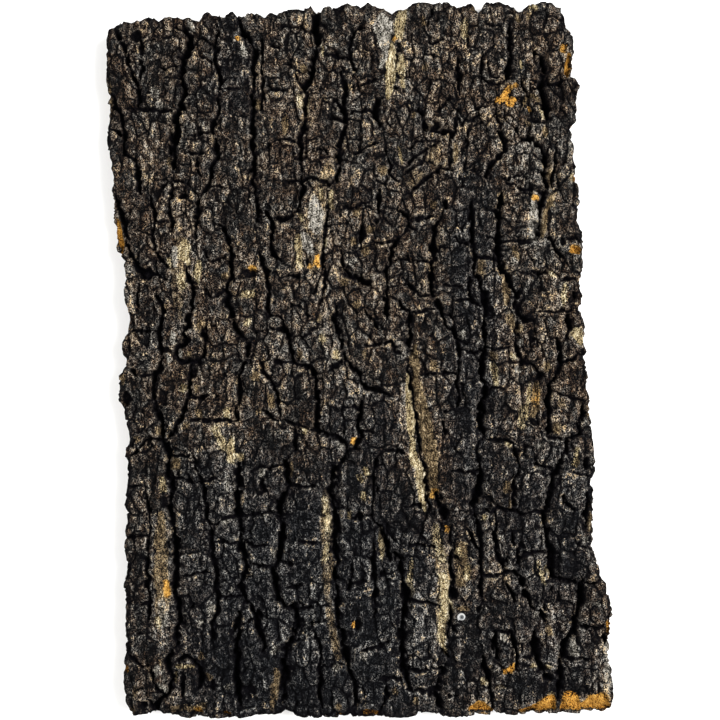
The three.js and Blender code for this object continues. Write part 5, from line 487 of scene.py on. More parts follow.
# Worn, paler crust.
PALE_STREAKS = [
    (0.5, 66, 150.5, 1.6, 72, 155, 2.2, 79, 159, 2.4, 87, 158.5, 1.8),
    (0.4, 26, 204, 2.5, 27, 190, 2.5, 29, 178, 2), (1, 14, 222, 4, 17, 212, 5, 17, 196, 4),
    (0.9, 29, 178, 4, 31, 170, 4), (1, -136, 137, 4, -134, 129, 5), (1, -114, 155, 5, -104, 150, 6),
    (1, -63, 129, 4, -63, 124, 4), (0.9, -34, 78, 5, -22, 78, 4, -13, 73, 4),
    (0.9, -13, 73, 4, -4, 62, 4, 5, 54, 4, 11, 40, 4), (1, -25, 38, 4, -22, 28, 6, -18, 14, 5, -19, 4, 3),
    (1, -90, -44, 5, -84, -50, 5), (1, -90, -56, 5, -88, -70, 5, -84, -84, 4),
    (0.8, -13, -6, 5, -10, -14, 4), (0.8, 27, -22, 3, 28, -34, 3), (0.8, 39, -26, 4, 46, -36, 4),
    (0.8, 100, -6, 4, 102, -14, 3), (0.9, 126, 56, 3, 127, 42, 5, 125, 34, 4),
    (0.6, 98, 136, 4, 106, 132, 4), (0.8, 43, -130, 4, 42, -165, 6, 44, -196, 6),
    (1, 156, -192, 4, 154, -210, 6), (0.8, -131, -158, 4, -131, -176, 4), (0.6, 126, -22, 5, 132, -6, 4),
    (0.5, 140, -92, 4, 144, -76, 4), (0.6, 120, 74, 4, 120, 62, 5), (0.8, 28, 224, 4, 28, 218, 4),
    (1, 12, 216, 5, 20, 213, 5), (0.9, 22, 138, 2, 26, 130, 2.6, 31, 122, 2),
    (0.8, -148, 56, 3, -147, 30, 3), (0.7, 139, 72, 4, 140, 68, 4), (0.7, 138, 14, 4, 140, 10, 4),
    (0.7, 131, 137, 4, 136, 134, 4), (0.7, 117, 62, 3, 118, 57, 3), (0.8, 141, -98, 4, 142, -108, 4),
    (0.8, 146, -116, 3, 150, -130, 3), (1, -82, -97, 4, -79, -110, 4), (1, 60, -140, 4, 68, -144, 4),
    (1, 156, -186, 6, 158, -204, 6), (1, 40, -72, 3, 41, -82, 3.4), (1, 57, -157, 4, 59, -164, 4),
    (1, -34, 80, 3, -32, 74, 3), (0.8, -2, 168, 3, -4, 162, 3), (0.8, -53, 12, 3, -52, 3, 3),
    (0.8, -20, 2, 4, -15, -2, 4), (0.8, 131, -24, 4, 129, -36, 4), (0.8, 62, 100, 4, 63, 93, 4),
    (0.8, 119, 65, 3, 120, 56, 3), (0.7, 134, -80, 4, 136, -72, 4), (0.6, 88, -112, 3, 94, -124, 3),
    (0.7, 18, 191, 5, 22, 188, 4), (0.8, 33, 198, 5, 40, 192, 5), (0.7, -18, 202, 5, -12, 196, 4),
    (0.7, -138, 198, 4, -136, 194, 4), (0.7, 76, 193, 5, 82, 186, 5), (0.6, 40, 130, 3, 48, 126, 4),
    (0.7, 79, 142, 3, 86, 138, 3, 104, 138, 3, 114, 135, 3, 119, 124, 3), (0.7, 60, 94, 4, 62, 86, 4),
    (0.7, 38, 92, 4, 46, 86, 5), (0.7, -98, 102, 4, -92, 98, 4), (0.6, -136, 73, 4, -126, 70, 4),
    (0.8, -76, 66, 3, -69, 58, 3), (0.6, -61, 124, 3, -60, 108, 3), (0.6, -77, 131, 3, -77, 124, 3),
    (0.6, -138, 152, 4, -134, 146, 4), (0.6, -50, 176, 6, -44, 166, 6), (0.6, -42, 158, 3, -38, 144, 3),
    (0.8, -132, -3, 5, -124, -5, 4), (0.6, -115, 13, 5, -100, 20, 4), (0.6, 6, 16, 3, 5, 4, 3),
    (0.7, 22, 14, 4, 27, 4, 4), (0.6, -8, -12, 5, -3, -20, 5), (0.6, -38, 8, 3, -34, -2, 3),
    (0.7, 91, 66, 3, 90, 52, 3), (0.6, 80, 10, 4, 80, -8, 5), (1, 36, -30, 4, 44, -36, 4),
    (0.8, 110, -76, 4, 112, -82, 4), (1, 40, -76, 3, 41, -84, 3), (0.8, -80, -100, 4, -80, -107, 4),
    (0.8, -92, -76, 5, -90, -82, 4), (1, 57, -158, 4, 58, -163, 4), (0.6, 58, -142, 4, 66, -142, 4),
    (0.7, 33, -146, 6, 36, -152, 6), (0.6, 64, -192, 3, 65, -208, 3), (0.7, 112, -112, 5, 118, -120, 5),
    (0.6, -78, -110, 4, -77, -118, 3), (0.6, 4, -116, 3, 6, -132, 3), (0.5, -10, -94, 4, -12, -108, 4),
    (0.7, 110, 88, 5, 111, 80, 4), (0.7, -84, 172, 5, -82, 176, 4), (0.8, 68, 170, 3, 71, 160, 3),
    (1, 46, 153, 4, 55, 152, 4), (0.9, 62, 143, 3, 62, 132, 3, 60, 122, 3), (0.8, -116, 94, 4, -110, 83, 4),
    (0.7, -106, 74, 4, -104, 66, 4), (0.8, -24, 68, 3, -14, 62, 3, 3, 54, 3.5),
    (0.7, -40, 58, 3, -30, 50, 4), (0.7, 15, 38, 3, 15, 32, 3), (0.6, -22, 36, 4, -22, 24, 4),
    (0.7, 112, 100, 5, 116, 80, 5, 113, 62, 5), (0.7, -92, 2, 3, -83, 2, 3),
    (0.6, -104, -12, 5, -106, -30, 5), (0.6, -6, -22, 4, -4, -28, 4), (0.6, -28, -40, 4, -20, -42, 4),
    (1, 24, -26, 3, 28, -44, 3.5, 31, -60, 3), (0.8, 42, -26, 4, 50, -38, 4),
    (0.8, 36, -66, 3.5, 40, -82, 3.5), (0.8, -75, -42, 3, -73, -57, 3), (0.7, -92, -60, 4, -90, -66, 4),
    (0.7, 86, -41, 4, 106, -44, 4), (0.7, 112, -68, 4, 113, -84, 4), (0.7, 119, -106, 4, 119, -124, 4),
    (0.6, 94, -126, 4, 97, -131, 4), (0.8, 131, -46, 5, 130, -64, 5), (0.7, 142, -96, 3, 148, -122, 3),
    (0.8, -128, -118, 5, -123, -122, 5), (0.8, -131, -152, 4, -130, -164, 4),
    (0.6, -105, -129, 3, -104, -136, 3), (0.8, -29, -144, 3, -27, -156, 3),
    (0.6, -34, -186, 3, -33, -196, 3), (0.9, 33, -142, 3, 33, -174, 3.5, 36, -200, 3.5),
    (0.8, 125, -158, 5, 126, -190, 5), (0.7, 158, -182, 4, 158, -212, 4), (0.5, -56, 168, 5, -40, 160, 5),
    (0.5, -140, 196, 4, -137, 180, 4), (0.5, -128, 100, 4, -126, 76, 4),
    (0.4, -117, 103, 2.5, -113, 96, 4, -114, 78, 4.5),
    (0.8, -115, 76, 4.5, -116, 70, 5, -118, 62, 5, -116, 54, 5),
    (0.7, -116, 54, 5, -117, 46, 4, -117, 36, 3.5, -117, 28, 4, -118, 18, 3),
    (0.9, -150, 66, 1.5, -147.5, 58, 2.5, -147, 48, 2.5, -147, 40, 3, -147.5, 30, 2),
    (0.9, -23, -80, 2.2, -22, -90, 3, -22, -98, 4, -22.5, -106, 5.5, -22, -114, 5, -21.5, -124, 4.5,
     -21, -134, 4),
    (0.8, -21, -134, 4, -23, -143, 3, -20, -148, 2.4, -20, -158, 3, -20, -166, 2.8, -18, -174, 3,
     -16, -184, 3.4), (1, -20, 126, 4, -26, 106, 6, -30, 88, 8, -31, 72, 7, -29, 58, 4),
    (0.8, 47.5, -106, 3, 49, -116, 5, 54, -148, 5.5, 52, -180, 5),
    (0.8, -53, -106, 1.5, -54, -114, 2.5, -55, -122, 2.5),
    (0.6, -48, -162, 2.5, -48, -172, 2.4, -54, -184, 3),
    (0.6, -32, -176, 2.5, -31, -183, 2.5, -28, -190, 2.5),
    (0.8, 27, -14, 0.8, 28.5, -25, 1.6, 28.5, -38, 1.6, 27.5, -52, 1),
    (1, -127, -96, 2.5, -127, -104, 4, -128, -112, 5, -127, -122, 5.5, -126.5, -134, 5.4, -127, -146, 6),
    (1, -127, -146, 6, -127, -156, 6, -128, -165, 5.5, -127, -174, 5.4, -127, -183, 4),
    (0.6, 82, -100, 1.6, 81, -110, 2, 82, -120, 2.5, 83, -130, 2.5, 83, -144, 2.4),
    (0.7, 111, -125, 4.4, 118, -132, 4, 121, -139, 2.4), (0.6, 124, -183, 3, 123, -197, 3),
    (0.7, 112, -192, 1.6, 111, -203, 1.6), (0.6, -20, 125, 3, -19, 118, 3.5, -19, 114, 2),
    (0.5, -5, 126, 3, -7, 114, 2.4), (0.5, -45, 75, 3, -45, 70, 3), (0.6, -28, 54, 2.5, -27, 46, 2.5),
    (0.5, -17, 66, 3, -16, 58, 3), (0.5, -36, 50, 3, -32, 42, 3), (0.4, 3, 54, 4.4, 8, 46, 3),
    (0.6, 119, 14, 2.6, 117, 5, 2.6, 119, -2, 2), (0.6, 129, -14, 2.4, 131, -20, 2),
    (0.6, -42, 166, 2, -42.5, 145, 1.4), (0.6, 44.5, 155, 2.4, 46, 161, 1.6),
    (0.5, 82, 145, 2.4, 87, 147.6, 2), (0.4, 79, 155, 2.2, 87, 159, 1.8), (0.4, 106, 203, 2, 106, 188, 2.4),
    (0.5, -104, -131, 4, -103, -128, 3), (0.5, -97, -154, 2, -95, -160, 3.4),
    (0.6, 143, -105, 1.5, 144, -112, 1.5, 146, -118, 1.5), (0.5, 131, -84, 3, 137, -86, 3),
    (0.5, 123, -58, 4, 125, -54, 3), (0.5, 101, -20, 5, 104, -28, 4), (0.5, 92, 30, 5, 87, 18, 4),
    (0.4, 104, 94, 5, 100, 84, 6),
]

# Painted shade: crust that lies deeper, made darker than the rest in its colour.
PAINTED_SHADE_STREAKS = [
    (0.5, -127, -8, 4, -130, -24, 5, -133, -42, 4), (0.35, -146, -32, 4, -147, -45, 4),
    (0.9, -156, 178, 4, -153, 162, 6, -150, 148, 6, -153, 126, 4), (0.8, -130, 178, 3.5, -129, 164, 4),
    (0.8, -136, 98, 2.6, -135, 84, 2.6), (0.8, -26, 112, 4, -25, 104, 3), (0.7, 84, 120, 3.5, 96, 110, 3),
    (1, 108, 123, 3, 108, 119, 3), (0.8, 139, 84, 2.5, 140, 78, 2.5), (0.8, 137, 40, 4, 137, 20, 4),
    (0.8, 104, 40, 3, 110, 24, 3, 110, 8, 3), (0.7, 21, 42, 3, 24, 36, 3), (0.6, 34, 42, 3, 40, 56, 3),
    (0.6, 38, -10, 3, 48, 2, 4), (0.8, -120, -14, 5, -112, -6, 4), (0.7, -153, -8, 4, -154, -22, 4),
    (0.9, -116, -52, 5, -110, -52, 4), (1, 55.5, -100, 3.4, 56, -116, 3.4), (0.6, 62, -121, 3, 68, -120, 3),
    (0.8, -21, -130, 4, -20, -139, 5), (0.7, -126, -135, 5, -125, -142, 4), (0.8, 100, -18, 3, 112, -19, 3),
    (0.8, 104, -58, 4, 106, -66, 4), (0.8, -150, -160, 3, -150, -205, 4),
    (0.7, -132, -205, 5, -128, -214, 5), (0.8, -48, -190, 7, -42, -212, 8),
    (0.6, -104, -200, 7, -100, -208, 7), (0.7, -84, -186, 8, -78, -210, 9),
    (0.5, -20, -208, 5, -24, -220, 5), (0.6, -40, -160, 4, -41, -185, 5), (0.6, 118, 186, 5, 128, 172, 8),
    (0.5, 140, -100, 6, 128, -150, 7), (0.8, -48, 225, 4, -28, 228, 4), (0.6, 84, 229, 3, 98, 229, 3),
    (0.8, 108, 205, 3, 120, 206, 3), (0.7, 132, 164, 3, 133, 152, 3), (0.8, -160, 215, 5, -158, 184, 5),
    (0.8, -58, 117, 3, -45, 108, 3), (0.8, -128, 106, 4, -126, 101, 4), (0.8, 57, 150, 3, 60, 150, 3),
    (0.8, 67, 163, 3, 66, 158, 3), (0.9, 68, 124, 3, 68, 116, 3), (0.7, 122, 112, 3, 138, 106, 4),
    (0.7, 50, 103, 3, 54, 96, 3), (0.6, -120, 0, 4, -112, -2, 4), (0.8, 90, -2, 3, 91, -8, 3),
    (0.8, 68, -14, 3, 70, -28, 3), (0.8, -62, -70, 5, -54, -70, 5), (0.7, -45, -90, 3, -46, -97, 3),
    (0.8, 10, -86, 3, 13, -92, 3), (1, 46, -92, 3, 47.5, -104, 3), (0.8, -148, -128, 4, -148, -138, 4),
    (0.8, -131, -56, 4, -129, -94, 4), (0.9, -140, -126, 3, -140, -146, 3), (0.8, -8, -99, 3, -8, -107, 3),
    (0.8, -58, -115, 3, -56, -118, 3), (0.8, 62, -120, 3, 68, -121, 3), (0.8, 111, -108, 3, 112, -113, 3),
    (0.9, 45, -182, 3, 44, -204, 4), (0.8, 58, -178, 3, 60, -202, 4), (0.8, -120, 193, 4, -114, 192, 3),
    (0.9, -131, 101, 3, -128, 97, 3), (0.7, -138, 92, 3, -126, 86, 3), (0.9, -28, 67, 2.6, -27, 62, 2.6),
    (0.8, -38, 94, 2.6, -37, 88, 2.6), (0.8, 110, 62, 3, 111, 56, 3), (0.7, 63, 42, 4, 64, 32, 4),
    (0.7, -95, 6, 3, -94, 0, 3), (0.7, 134, 8, 4, 142, 2, 4), (0.8, -108, -25, 3, -106, -30, 3),
    (0.8, -86, -29, 3, -84, -33, 3), (0.7, 83, -34, 3, 83, -41, 3), (0.8, 112, -20, 3, 124, -22, 3),
    (0.7, -23, -70, 3, -23, -80, 3), (0.7, -12, 98, 3, -2, 96, 3), (0.6, -8, 14, 3, -14, 10, 3),
    (0.4, 22, 201, 2.6, 29, 200, 2.6), (0.8, 100, 184, 3, 101, 176, 3), (0.8, 86, 147, 3, 78, 128, 3),
    (0.7, -82, 120, 3, -80, 116, 3), (0.8, -26, 120, 3, -25, 115, 3), (0.8, 57, 110, 4, 57, 100, 4),
    (0.8, 84, 108, 3, 85, 101, 3), (0.9, -138, 84, 3, -138, 72, 4), (1, -31, 97, 2.6, -30, 93, 2.6),
    (0.8, 14, 130, 3, 15, 126, 3), (1, 112, -12, 4, 117, -18, 4), (0.9, 124, -7, 3, 138, -8, 3),
    (1, -35, -86, 3, -31, -87, 3), (0.9, 46, -82, 3, 50, -84, 3), (0.8, -3, -58, 3, -3, -64, 3),
    (1, -127, -134, 4, -124, -144, 4), (0.8, -144, -194, 5, -144, -202, 4),
    (0.9, -33, -198, 4, -31, -203, 4), (1, 122, -211.5, 2.4, 140, -213, 2.4, 158, -213.5, 2.4),
    (0.9, 27, -138, 3, 32, -139, 3), (0.8, 42, -143, 3, 42, -156, 3), (1, 3, 206, 2.5, 3, 198, 2.5),
    (1, 4, 184, 2.5, 5, 168, 3), (0.9, -72, 175, 4, -66, 171, 4), (0.6, -86, 222, 3, -84, 206, 3),
    (1, -163, 160, 4, -162, 140, 4), (0.9, -158, 125, 3, -150, 124, 3), (0.7, -129, 158, 4, -126, 144, 4),
    (0.7, -119, 107, 3, -111, 106, 3), (0.7, -102, 186, 4, -98, 184, 4), (0.7, -115, 76, 3, -113, 73, 3),
    (0.7, -38, 74, 3, -39, 66, 3), (0.5, -56, 62, 5, -54, 46, 5), (0.7, -143, 52, 3, -134, 51, 3),
    (0.6, -122, 37, 3, -116, 34, 3), (0.7, -68, 4, 3, -63, 6, 3), (0.8, -66, -20, 4, -64, -24, 4),
    (0.8, -66, -40, 4, -64, -46, 4), (1, -36, -30, 3, -33, -40, 3), (0.5, -54, -55, 4, -44, -54, 4),
    (0.7, -70, -83, 3, -58, -81, 3), (0.9, -22, -98, 2.5, -22, -110, 2.5),
    (1, 23, -70, 2.5, 28, -84, 3, 35, -112, 3), (0.8, 46, -74, 3, 66, -76, 4),
    (0.8, 86, -85, 4, 92, -90, 4), (0.8, -12, -133, 4, -8, -138, 4), (0.9, 105, -130, 4, 114, -133, 4),
    (0.7, 92, -158, 4, 100, -162, 5), (0.8, 74, -202, 3, 77, -208, 3), (1, 106, 166, 3, 112, 163, 3),
    (0.6, 120, 200, 3, 122, 190, 3), (0.8, 25, 133, 3, 30, 130, 3), (0.7, 107, -66, 3, 109, -70, 3),
    (0.7, 124, -84, 3, 125, -98, 3), (0.8, 148, -90, 2.5, 149, -102, 2.5), (0.8, 108, 10, 3, 107, -2, 3),
    (0.8, 118, 50, 2.5, 117, 40, 2.5), (0.7, 70, 26, 3, 72, 18, 4), (0.6, 34, 26, 4, 38, 22, 4),
    (0.5, 36, 66, 4, 34, 54, 4), (0.7, -87, -170, 3, -86, -176, 3), (0.7, -66, -182, 3, -65, -188, 3),
    (0.7, -12, -192, 3, -8, -203, 3), (0.7, -1, -170, 3, -1, -175, 3), (0.7, -136, -140, 3, -130, -140, 3),
    (0.9, -152, -52, 4, -150, -96, 4), (0.8, -110, -163, 3, -106, -160, 3),
    (1, -132, -186, 4, -132, -196, 4), (1, -152, -96, 3, -152, -130, 4, -151, -200, 5),
    (0.8, 83, -169, 3, 88, -171, 3), (0.8, 111, -210, 4, 114, -214, 4), (0.7, 79, -199, 4, 82, -203, 4),
    (1, -150, -226, 5, -122, -228, 5), (1, -52, -226, 4, -20, -228, 4, 26, -228, 4),
    (0.6, 100, -206, 4, 138, -210, 5), (0.6, 140, -136, 4, 152, -138, 4), (0.6, 139, 84, 4, 142, 68, 3),
    (0.7, 38, 40, 4, 44, 38, 4), (0.6, 8, 28, 4, 12, 24, 3), (0.5, -14, 10, 4, -12, 4, 4),
    (0.5, 14, 82, 3, 12, 74, 3),
]

# Greyer, darker regions.
AGED = [
    (-30, -165, 88, 88, 0, 1), (73, 0, 17, 115, 0, 0.8), (120, -105, 32, 60, 0, 0.75),
    (-82, 190, 16, 42, 0, 0.5), (-80, -95, 40, 40, 0, 0.7), (-1, -70, 26, 55, 0, 0.7),
    (100, -190, 55, 34, 0, 0.6),
]

# Further thin cracks, each a width and then x, y pairs, and small holes, each its x, y, half width, half
# length and depth.
FINE_CRACKS = [
    (0.6, 23.2, 200, 23.4, 190, 22.9, 178), (0.8, 82, 192, 84, 182, 88, 180, 93, 186),
    (0.8, 90, -115, 92, -126, 95, -131), (0.8, 95, -131, 99, -127, 102, -120),
    (0.6, -5, 212, -6, 200, -5, 193, 0, 191), (0.8, 100, 105, 105, 107, 110, 106),
    (1.6, -20.5, 113, -20, 108, -20.5, 97), (0.5, -21, 97, -21, 88, -22, 80, -24.5, 68),
    (1, -35, 70, -34, 60), (1.5, 116, 105, 116, 97), (0.6, 114.5, 97, 114.5, 78),
    (1.7, 57.5, 123, 56, 130, 57, 138, 60, 146, 61.5, 154, 63, 161),
    (1.1, 66, 122, 68.5, 130, 69, 138, 68.5, 145, 71, 150, 78, 153),
    (1, 64, 152, 70, 157, 77, 161.5, 83, 163), (1.4, 91, 118, 96, 112.5, 104, 109, 111, 109, 116, 107),
    (0.9, 92, 160, 92.5, 154, 97, 149.5, 101, 146), (1, 64, 106, 65.5, 112, 64, 119),
    (0.9, 70, 122, 78, 120.5, 84, 122), (0.9, 92, 141, 94, 135, 90, 131),
    (1.2, 31, 133, 37, 139.5, 44, 141, 51, 141, 55, 137), (0.9, 42, 136, 41, 128, 37, 124, 30, 121),
    (0.8, 48, 158, 53, 164, 59, 169),
]
SMALL_HOLES = [
    (22.9, 174.8, 1.7, 1.9, 6), (110.5, 161, 3.4, 3.4, 5), (111.5, 174, 1.5, 1.5, 3),
    (-127.6, -203, 0.9, 2.6, 4), (135, 23, 2.8, 4.6, 7), (94.5, 166, 0.8, 0.8, 3),
]

# Lengths in millimetres, and heights above the back.
CREST = 22.6  # usual height of the plates
HIGHEST = 25.3
LEAST_HEIGHT = 7.0
EDGE_DROP = 3.2  # how far the crumbled rim lies below the plates
MAX_FURROW_DEPTH = 12.5
LEAST_DEPTH, DEPTH_PER_WIDTH = 1.2, 2.4  # a crack's depth is the first plus its width times the second
TIP, TAPER = 0.3, 6.0  # a crack's share of its width at its tips, and the length that adds a whole one
SHOULDER = 0.9  # from a furrow's wall to the top of the plate
PLATE_REACH = 6.5  # how far in from a crack a plate is rounded
PLATE_SLUMP = 0.32  # how far a plate sinks towards a crack, as a share of the crack's depth
HALF_WIDTH, HALF_LENGTH = 162.5, 229.5  # of the whole outline
FACE_WIDTH, FACE_LENGTH = 310.0, 447.0  # about the distances between opposite edges
RIM_REACH = 2.4  # how far in the rim's raggedness moves the face
RIM_STEP = 0.66  # taken as the way from one point of the rim to the next
CRUST_END, CORK_START = 5.5, 7.5  # depth below the rim where a wall turns from crust to cork
MILLIMETRE = 0.001  # in metres
RIBBED_PLATE = (101, 91, 10, 14, 0, 1)  # a patch with growth ribs across it
SHELL_PLACE = (65.0, -164.5)
SHELF_RADIUS, SHELF_REACH, SHELF_HEIGHT = 3.95, 6.05, 20.4  # level bark under the shell
COLUMNS, ROWS = 564, 813  # points across and along the face
SIDE_RINGS, BACK_RINGS = 14, 30  # rings of points down the broken side and in over the back
MOST_TRIANGLES = 196000

# A patch or streak is full within the first share of its drawn size and gone at the second. It is worked out
# as far as the third, since its edge is ragged.
PATCH_FULL, PATCH_GONE, PATCH_REACH = 0.65, 1.35, 1.6

# Whole numbers that scatter the bits of a lattice's corner.
SCATTER_I, SCATTER_J, SCATTER_LAYER, SCATTER_ALL = 374761393, 668265263, 362437, 1274126177


def lattice(i, j, layer):
    """A value from -1 to 1, all as likely, for each corner i, j of a layer's lattice, by hashing them."""
    n = i.astype(np.uint32) * np.uint32(SCATTER_I) ^ j.astype(np.uint32) * np.uint32(SCATTER_J)
    n = n ^ np.uint32(layer * SCATTER_LAYER)
    n = (n ^ n >> np.uint32(13)) * np.uint32(SCATTER_ALL)
    return (n ^ n >> np.uint32(16)) / 2.0**31 - 1.0


def ease(value, low, high):
    """0 below low, 1 above high, and 3tt - 2ttt between them."""
    t = np.clip((value - low) / (high - low), 0.0, 1.0)
    return t * t * (3.0 - 2.0 * t)


def noise(x, y, across, along, layer):
    """Smooth roughness from -1 to 1: the lattice's values at a cell's corners, mixed by eased place."""
    i = np.floor(x / across).astype(np.int64)
    j = np.floor(y / along).astype(np.int64)
    s = ease(x / across - i, 0.0, 1.0)
    t = ease(y / along - j, 0.0, 1.0)
    low = lattice(i, j, layer) * (1 - s) + lattice(i + 1, j, layer) * s
    high = lattice(i, j + 1, layer) * (1 - s) + lattice(i + 1, j + 1, layer) * s
    return low * (1 - t) + high * t


def blocks(x, y, across, along, layer):
    """Bark broken into blocks, each round a point that strays from the middle of a lattice's cell. For each
    place: the block's level there, its own height plus its own tilt; about the way in from its edge, in
    cells; and the block's tone, from -1 to 1."""
    stray, steepness = 0.42, 2.8
    i = np.floor(x / across).astype(np.int64)
    j = np.floor(y / along).astype(np.int64)
    first, second = np.full(x.shape, np.inf), np.full(x.shape, np.inf)
    near_i, near_j, off_x, off_y = i, j, 0 * x, 0 * x
    for di in (-1, 0, 1):
        for dj in (-1, 0, 1):
            to_x = x / across - (i + di + 0.5 + stray * lattice(i + di, j + dj, layer))
            to_y = y / along - (j + dj + 0.5 + stray * lattice(i + di, j + dj, layer + 50))
            away = np.hypot(to_x, to_y)
            closer = away < first
            second = np.minimum(second, np.maximum(first, away))
            first = np.minimum(first, away)
            near_i, near_j = np.where(closer, i + di, near_i), np.where(closer, j + dj, near_j)
            off_x, off_y = np.where(closer, to_x, off_x), np.where(closer, to_y, off_y)
    tilt = lattice(near_i, near_j, layer + 100) * off_x + lattice(near_i, near_j, layer + 101) * off_y
    own = lattice(near_i, near_j, layer + 102)
    return own + steepness * tilt, second - first, own


def points_of(numbers):
    """The x, y pairs of a row of numbers."""
    return np.reshape(np.array(numbers, float), (-1, 2))


def even_edge(path, along, count):
    """An edge's x and y at an even step of its long coordinate, 0 for x or 1 for y, from end to end."""
    places = np.linspace(path[0, along], path[-1, along], count)
    order = np.argsort(path[:, along])
    other = np.interp(places, path[order, along], path[order, 1 - along])
    return np.stack((places, other) if along == 0 else (other, places))


def crumbled(place, layer, raggedness, outward):
    """How far a rim has broken back at a place along it, in mm: raggedness times noise of three sizes, less
    the way outward that makes up for it."""
    level = 0 * place
    coarse = 0.5 * noise(place, level, 5.3, 1.0, layer) + 0.6 * noise(place, level, 2.6, 1.0, layer + 1)
    return raggedness * (coarse + 0.45 * noise(place, level, 1.2, 1.0, layer + 2)) - outward


# The face is a patch between the four edges: each point is its place between the side edges, plus its
# place between the top and bottom edges, less its place between the four corners.
top, bottom = points_of(TOP_EDGE), points_of(BOTTOM_EDGE)[::-1]
right = np.vstack((top[-1:], points_of(RIGHT_EDGE), bottom[-1:]))
left = np.vstack((top[:1], points_of(LEFT_EDGE)[::-1], bottom[:1]))
u = np.linspace(0, 1, COLUMNS)[None, :]
v = np.linspace(0, 1, ROWS)[:, None]
top_line = even_edge(top, 0, COLUMNS)[:, None, :]
bottom_line = even_edge(bottom, 0, COLUMNS)[:, None, :]
left_line = even_edge(left, 1, ROWS)[:, :, None]
right_line = even_edge(right, 1, ROWS)[:, :, None]
upper_corners = top[0][:, None, None] * (1 - u) + top[-1][:, None, None] * u
lower_corners = bottom[0][:, None, None] * (1 - u) + bottom[-1][:, None, None] * u
x, y = (
    left_line * (1 - u) + right_line * u
    + top_line * (1 - v) + bottom_line * v
    - upper_corners * (1 - v) - lower_corners * v
)
from_side = FACE_WIDTH * np.minimum(u, 1 - u) + 0 * v
from_end = FACE_LENGTH * np.minimum(v, 1 - v) + 0 * u
from_rim = np.minimum(from_side, from_end)
left_in = crumbled(y, 31, raggedness=0.5, outward=0.8) * np.exp(-FACE_WIDTH * u / RIM_REACH)
right_in = crumbled(y, 34, raggedness=0.75, outward=0.62) * np.exp(-FACE_WIDTH * (1 - u) / RIM_REACH)
bottom_in = crumbled(x, 37, raggedness=0.5, outward=0.8) * np.exp(-FACE_LENGTH * (1 - v) / RIM_REACH)
top_in = crumbled(x, 40, raggedness=1.0, outward=0.85) * np.exp(-FACE_LENGTH * v / RIM_REACH)
x = np.clip(x + left_in - right_in, -HALF_WIDTH, HALF_WIDTH)
y = np.clip(y + bottom_in - top_in, -HALF_LENGTH, HALF_LENGTH)


def near(low_x, low_y, high_x, high_y):
    """The rows and columns of the face that hold every point of a box, with a few to spare."""
    spare_rows, spare_columns = 4, 3
    column = min(np.searchsorted(x[ROWS // 2], (low_x + high_x) / 2), COLUMNS - 1)
    first_row = max(np.searchsorted(-y[:, column], -high_y) - spare_rows, 0)
    last_row = min(np.searchsorted(-y[:, column], -low_y) + spare_rows, ROWS - 1)
    first_column = min(np.searchsorted(x[first_row], low_x), np.searchsorted(x[last_row], low_x))
    last_column = max(np.searchsorted(x[first_row], high_x), np.searchsorted(x[last_row], high_x))
    columns = slice(max(first_column - spare_columns, 0), last_column + spare_columns + 1)
    return slice(first_row, last_row + 1), columns


def near_line(ax, ay, bx, by, reach):
    """The rows and columns of the face within reach of a straight line."""
    return near(min(ax, bx) - reach, min(ay, by) - reach, max(ax, bx) + reach, max(ay, by) + reach)


def beside(px, py, to_x, to_y, squared_length):
    """The nearest place of a straight line from 0, 0, as a share of its length, and the way there."""
    share = np.clip((px * to_x + py * to_y) / squared_length, 0, 1)
    return share, np.hypot(px - share * to_x, py - share * to_y)


def strayed(coordinate, layer, fine_layer):
    """A coordinate of the face made ragged, by at most 1.65 mm, with noise of three sizes."""
    wide = coordinate + 0.8 * noise(x, y, 5.2, 5.2, layer) + 0.55 * noise(x, y, 2.1, 2.1, layer + 1)
    return wide + 0.3 * noise(x, y, 1, 1, fine_layer)


# Furrows, cracks and pockets. A line's half width is less towards its tips and varies on the way. The wall
# falls from the shoulder to the floor: its depth times an ease of the way in from the shoulder. Clear is the
# way from the nearest wall, slump how far the plate sinks towards it, and the third mask is painted shade
# that darkens the plate's colour close to the wall.
ragged_x, ragged_y = strayed(x, 11, 15), strayed(y, 13, 16)
gape = np.maximum(0.75 + 0.5 * noise(x, y, 6.5, 6.5, 17) + 0.45 * noise(x, y, 2.6, 2.6, 18), 0.15)
big, big_edge, tone = blocks(ragged_x, ragged_y, 8.5, 14, 201)
middle, middle_edge, middle_tone = blocks(ragged_x, ragged_y, 3.9, 6.4, 401)
small, _, _ = blocks(ragged_x, ragged_y, 1.9, 2.5, 601)
cut = np.zeros((ROWS, COLUMNS))
slump = np.zeros((ROWS, COLUMNS))
painted_wall_shade = np.zeros((ROWS, COLUMNS))
clear = np.full((ROWS, COLUMNS), PLATE_REACH)
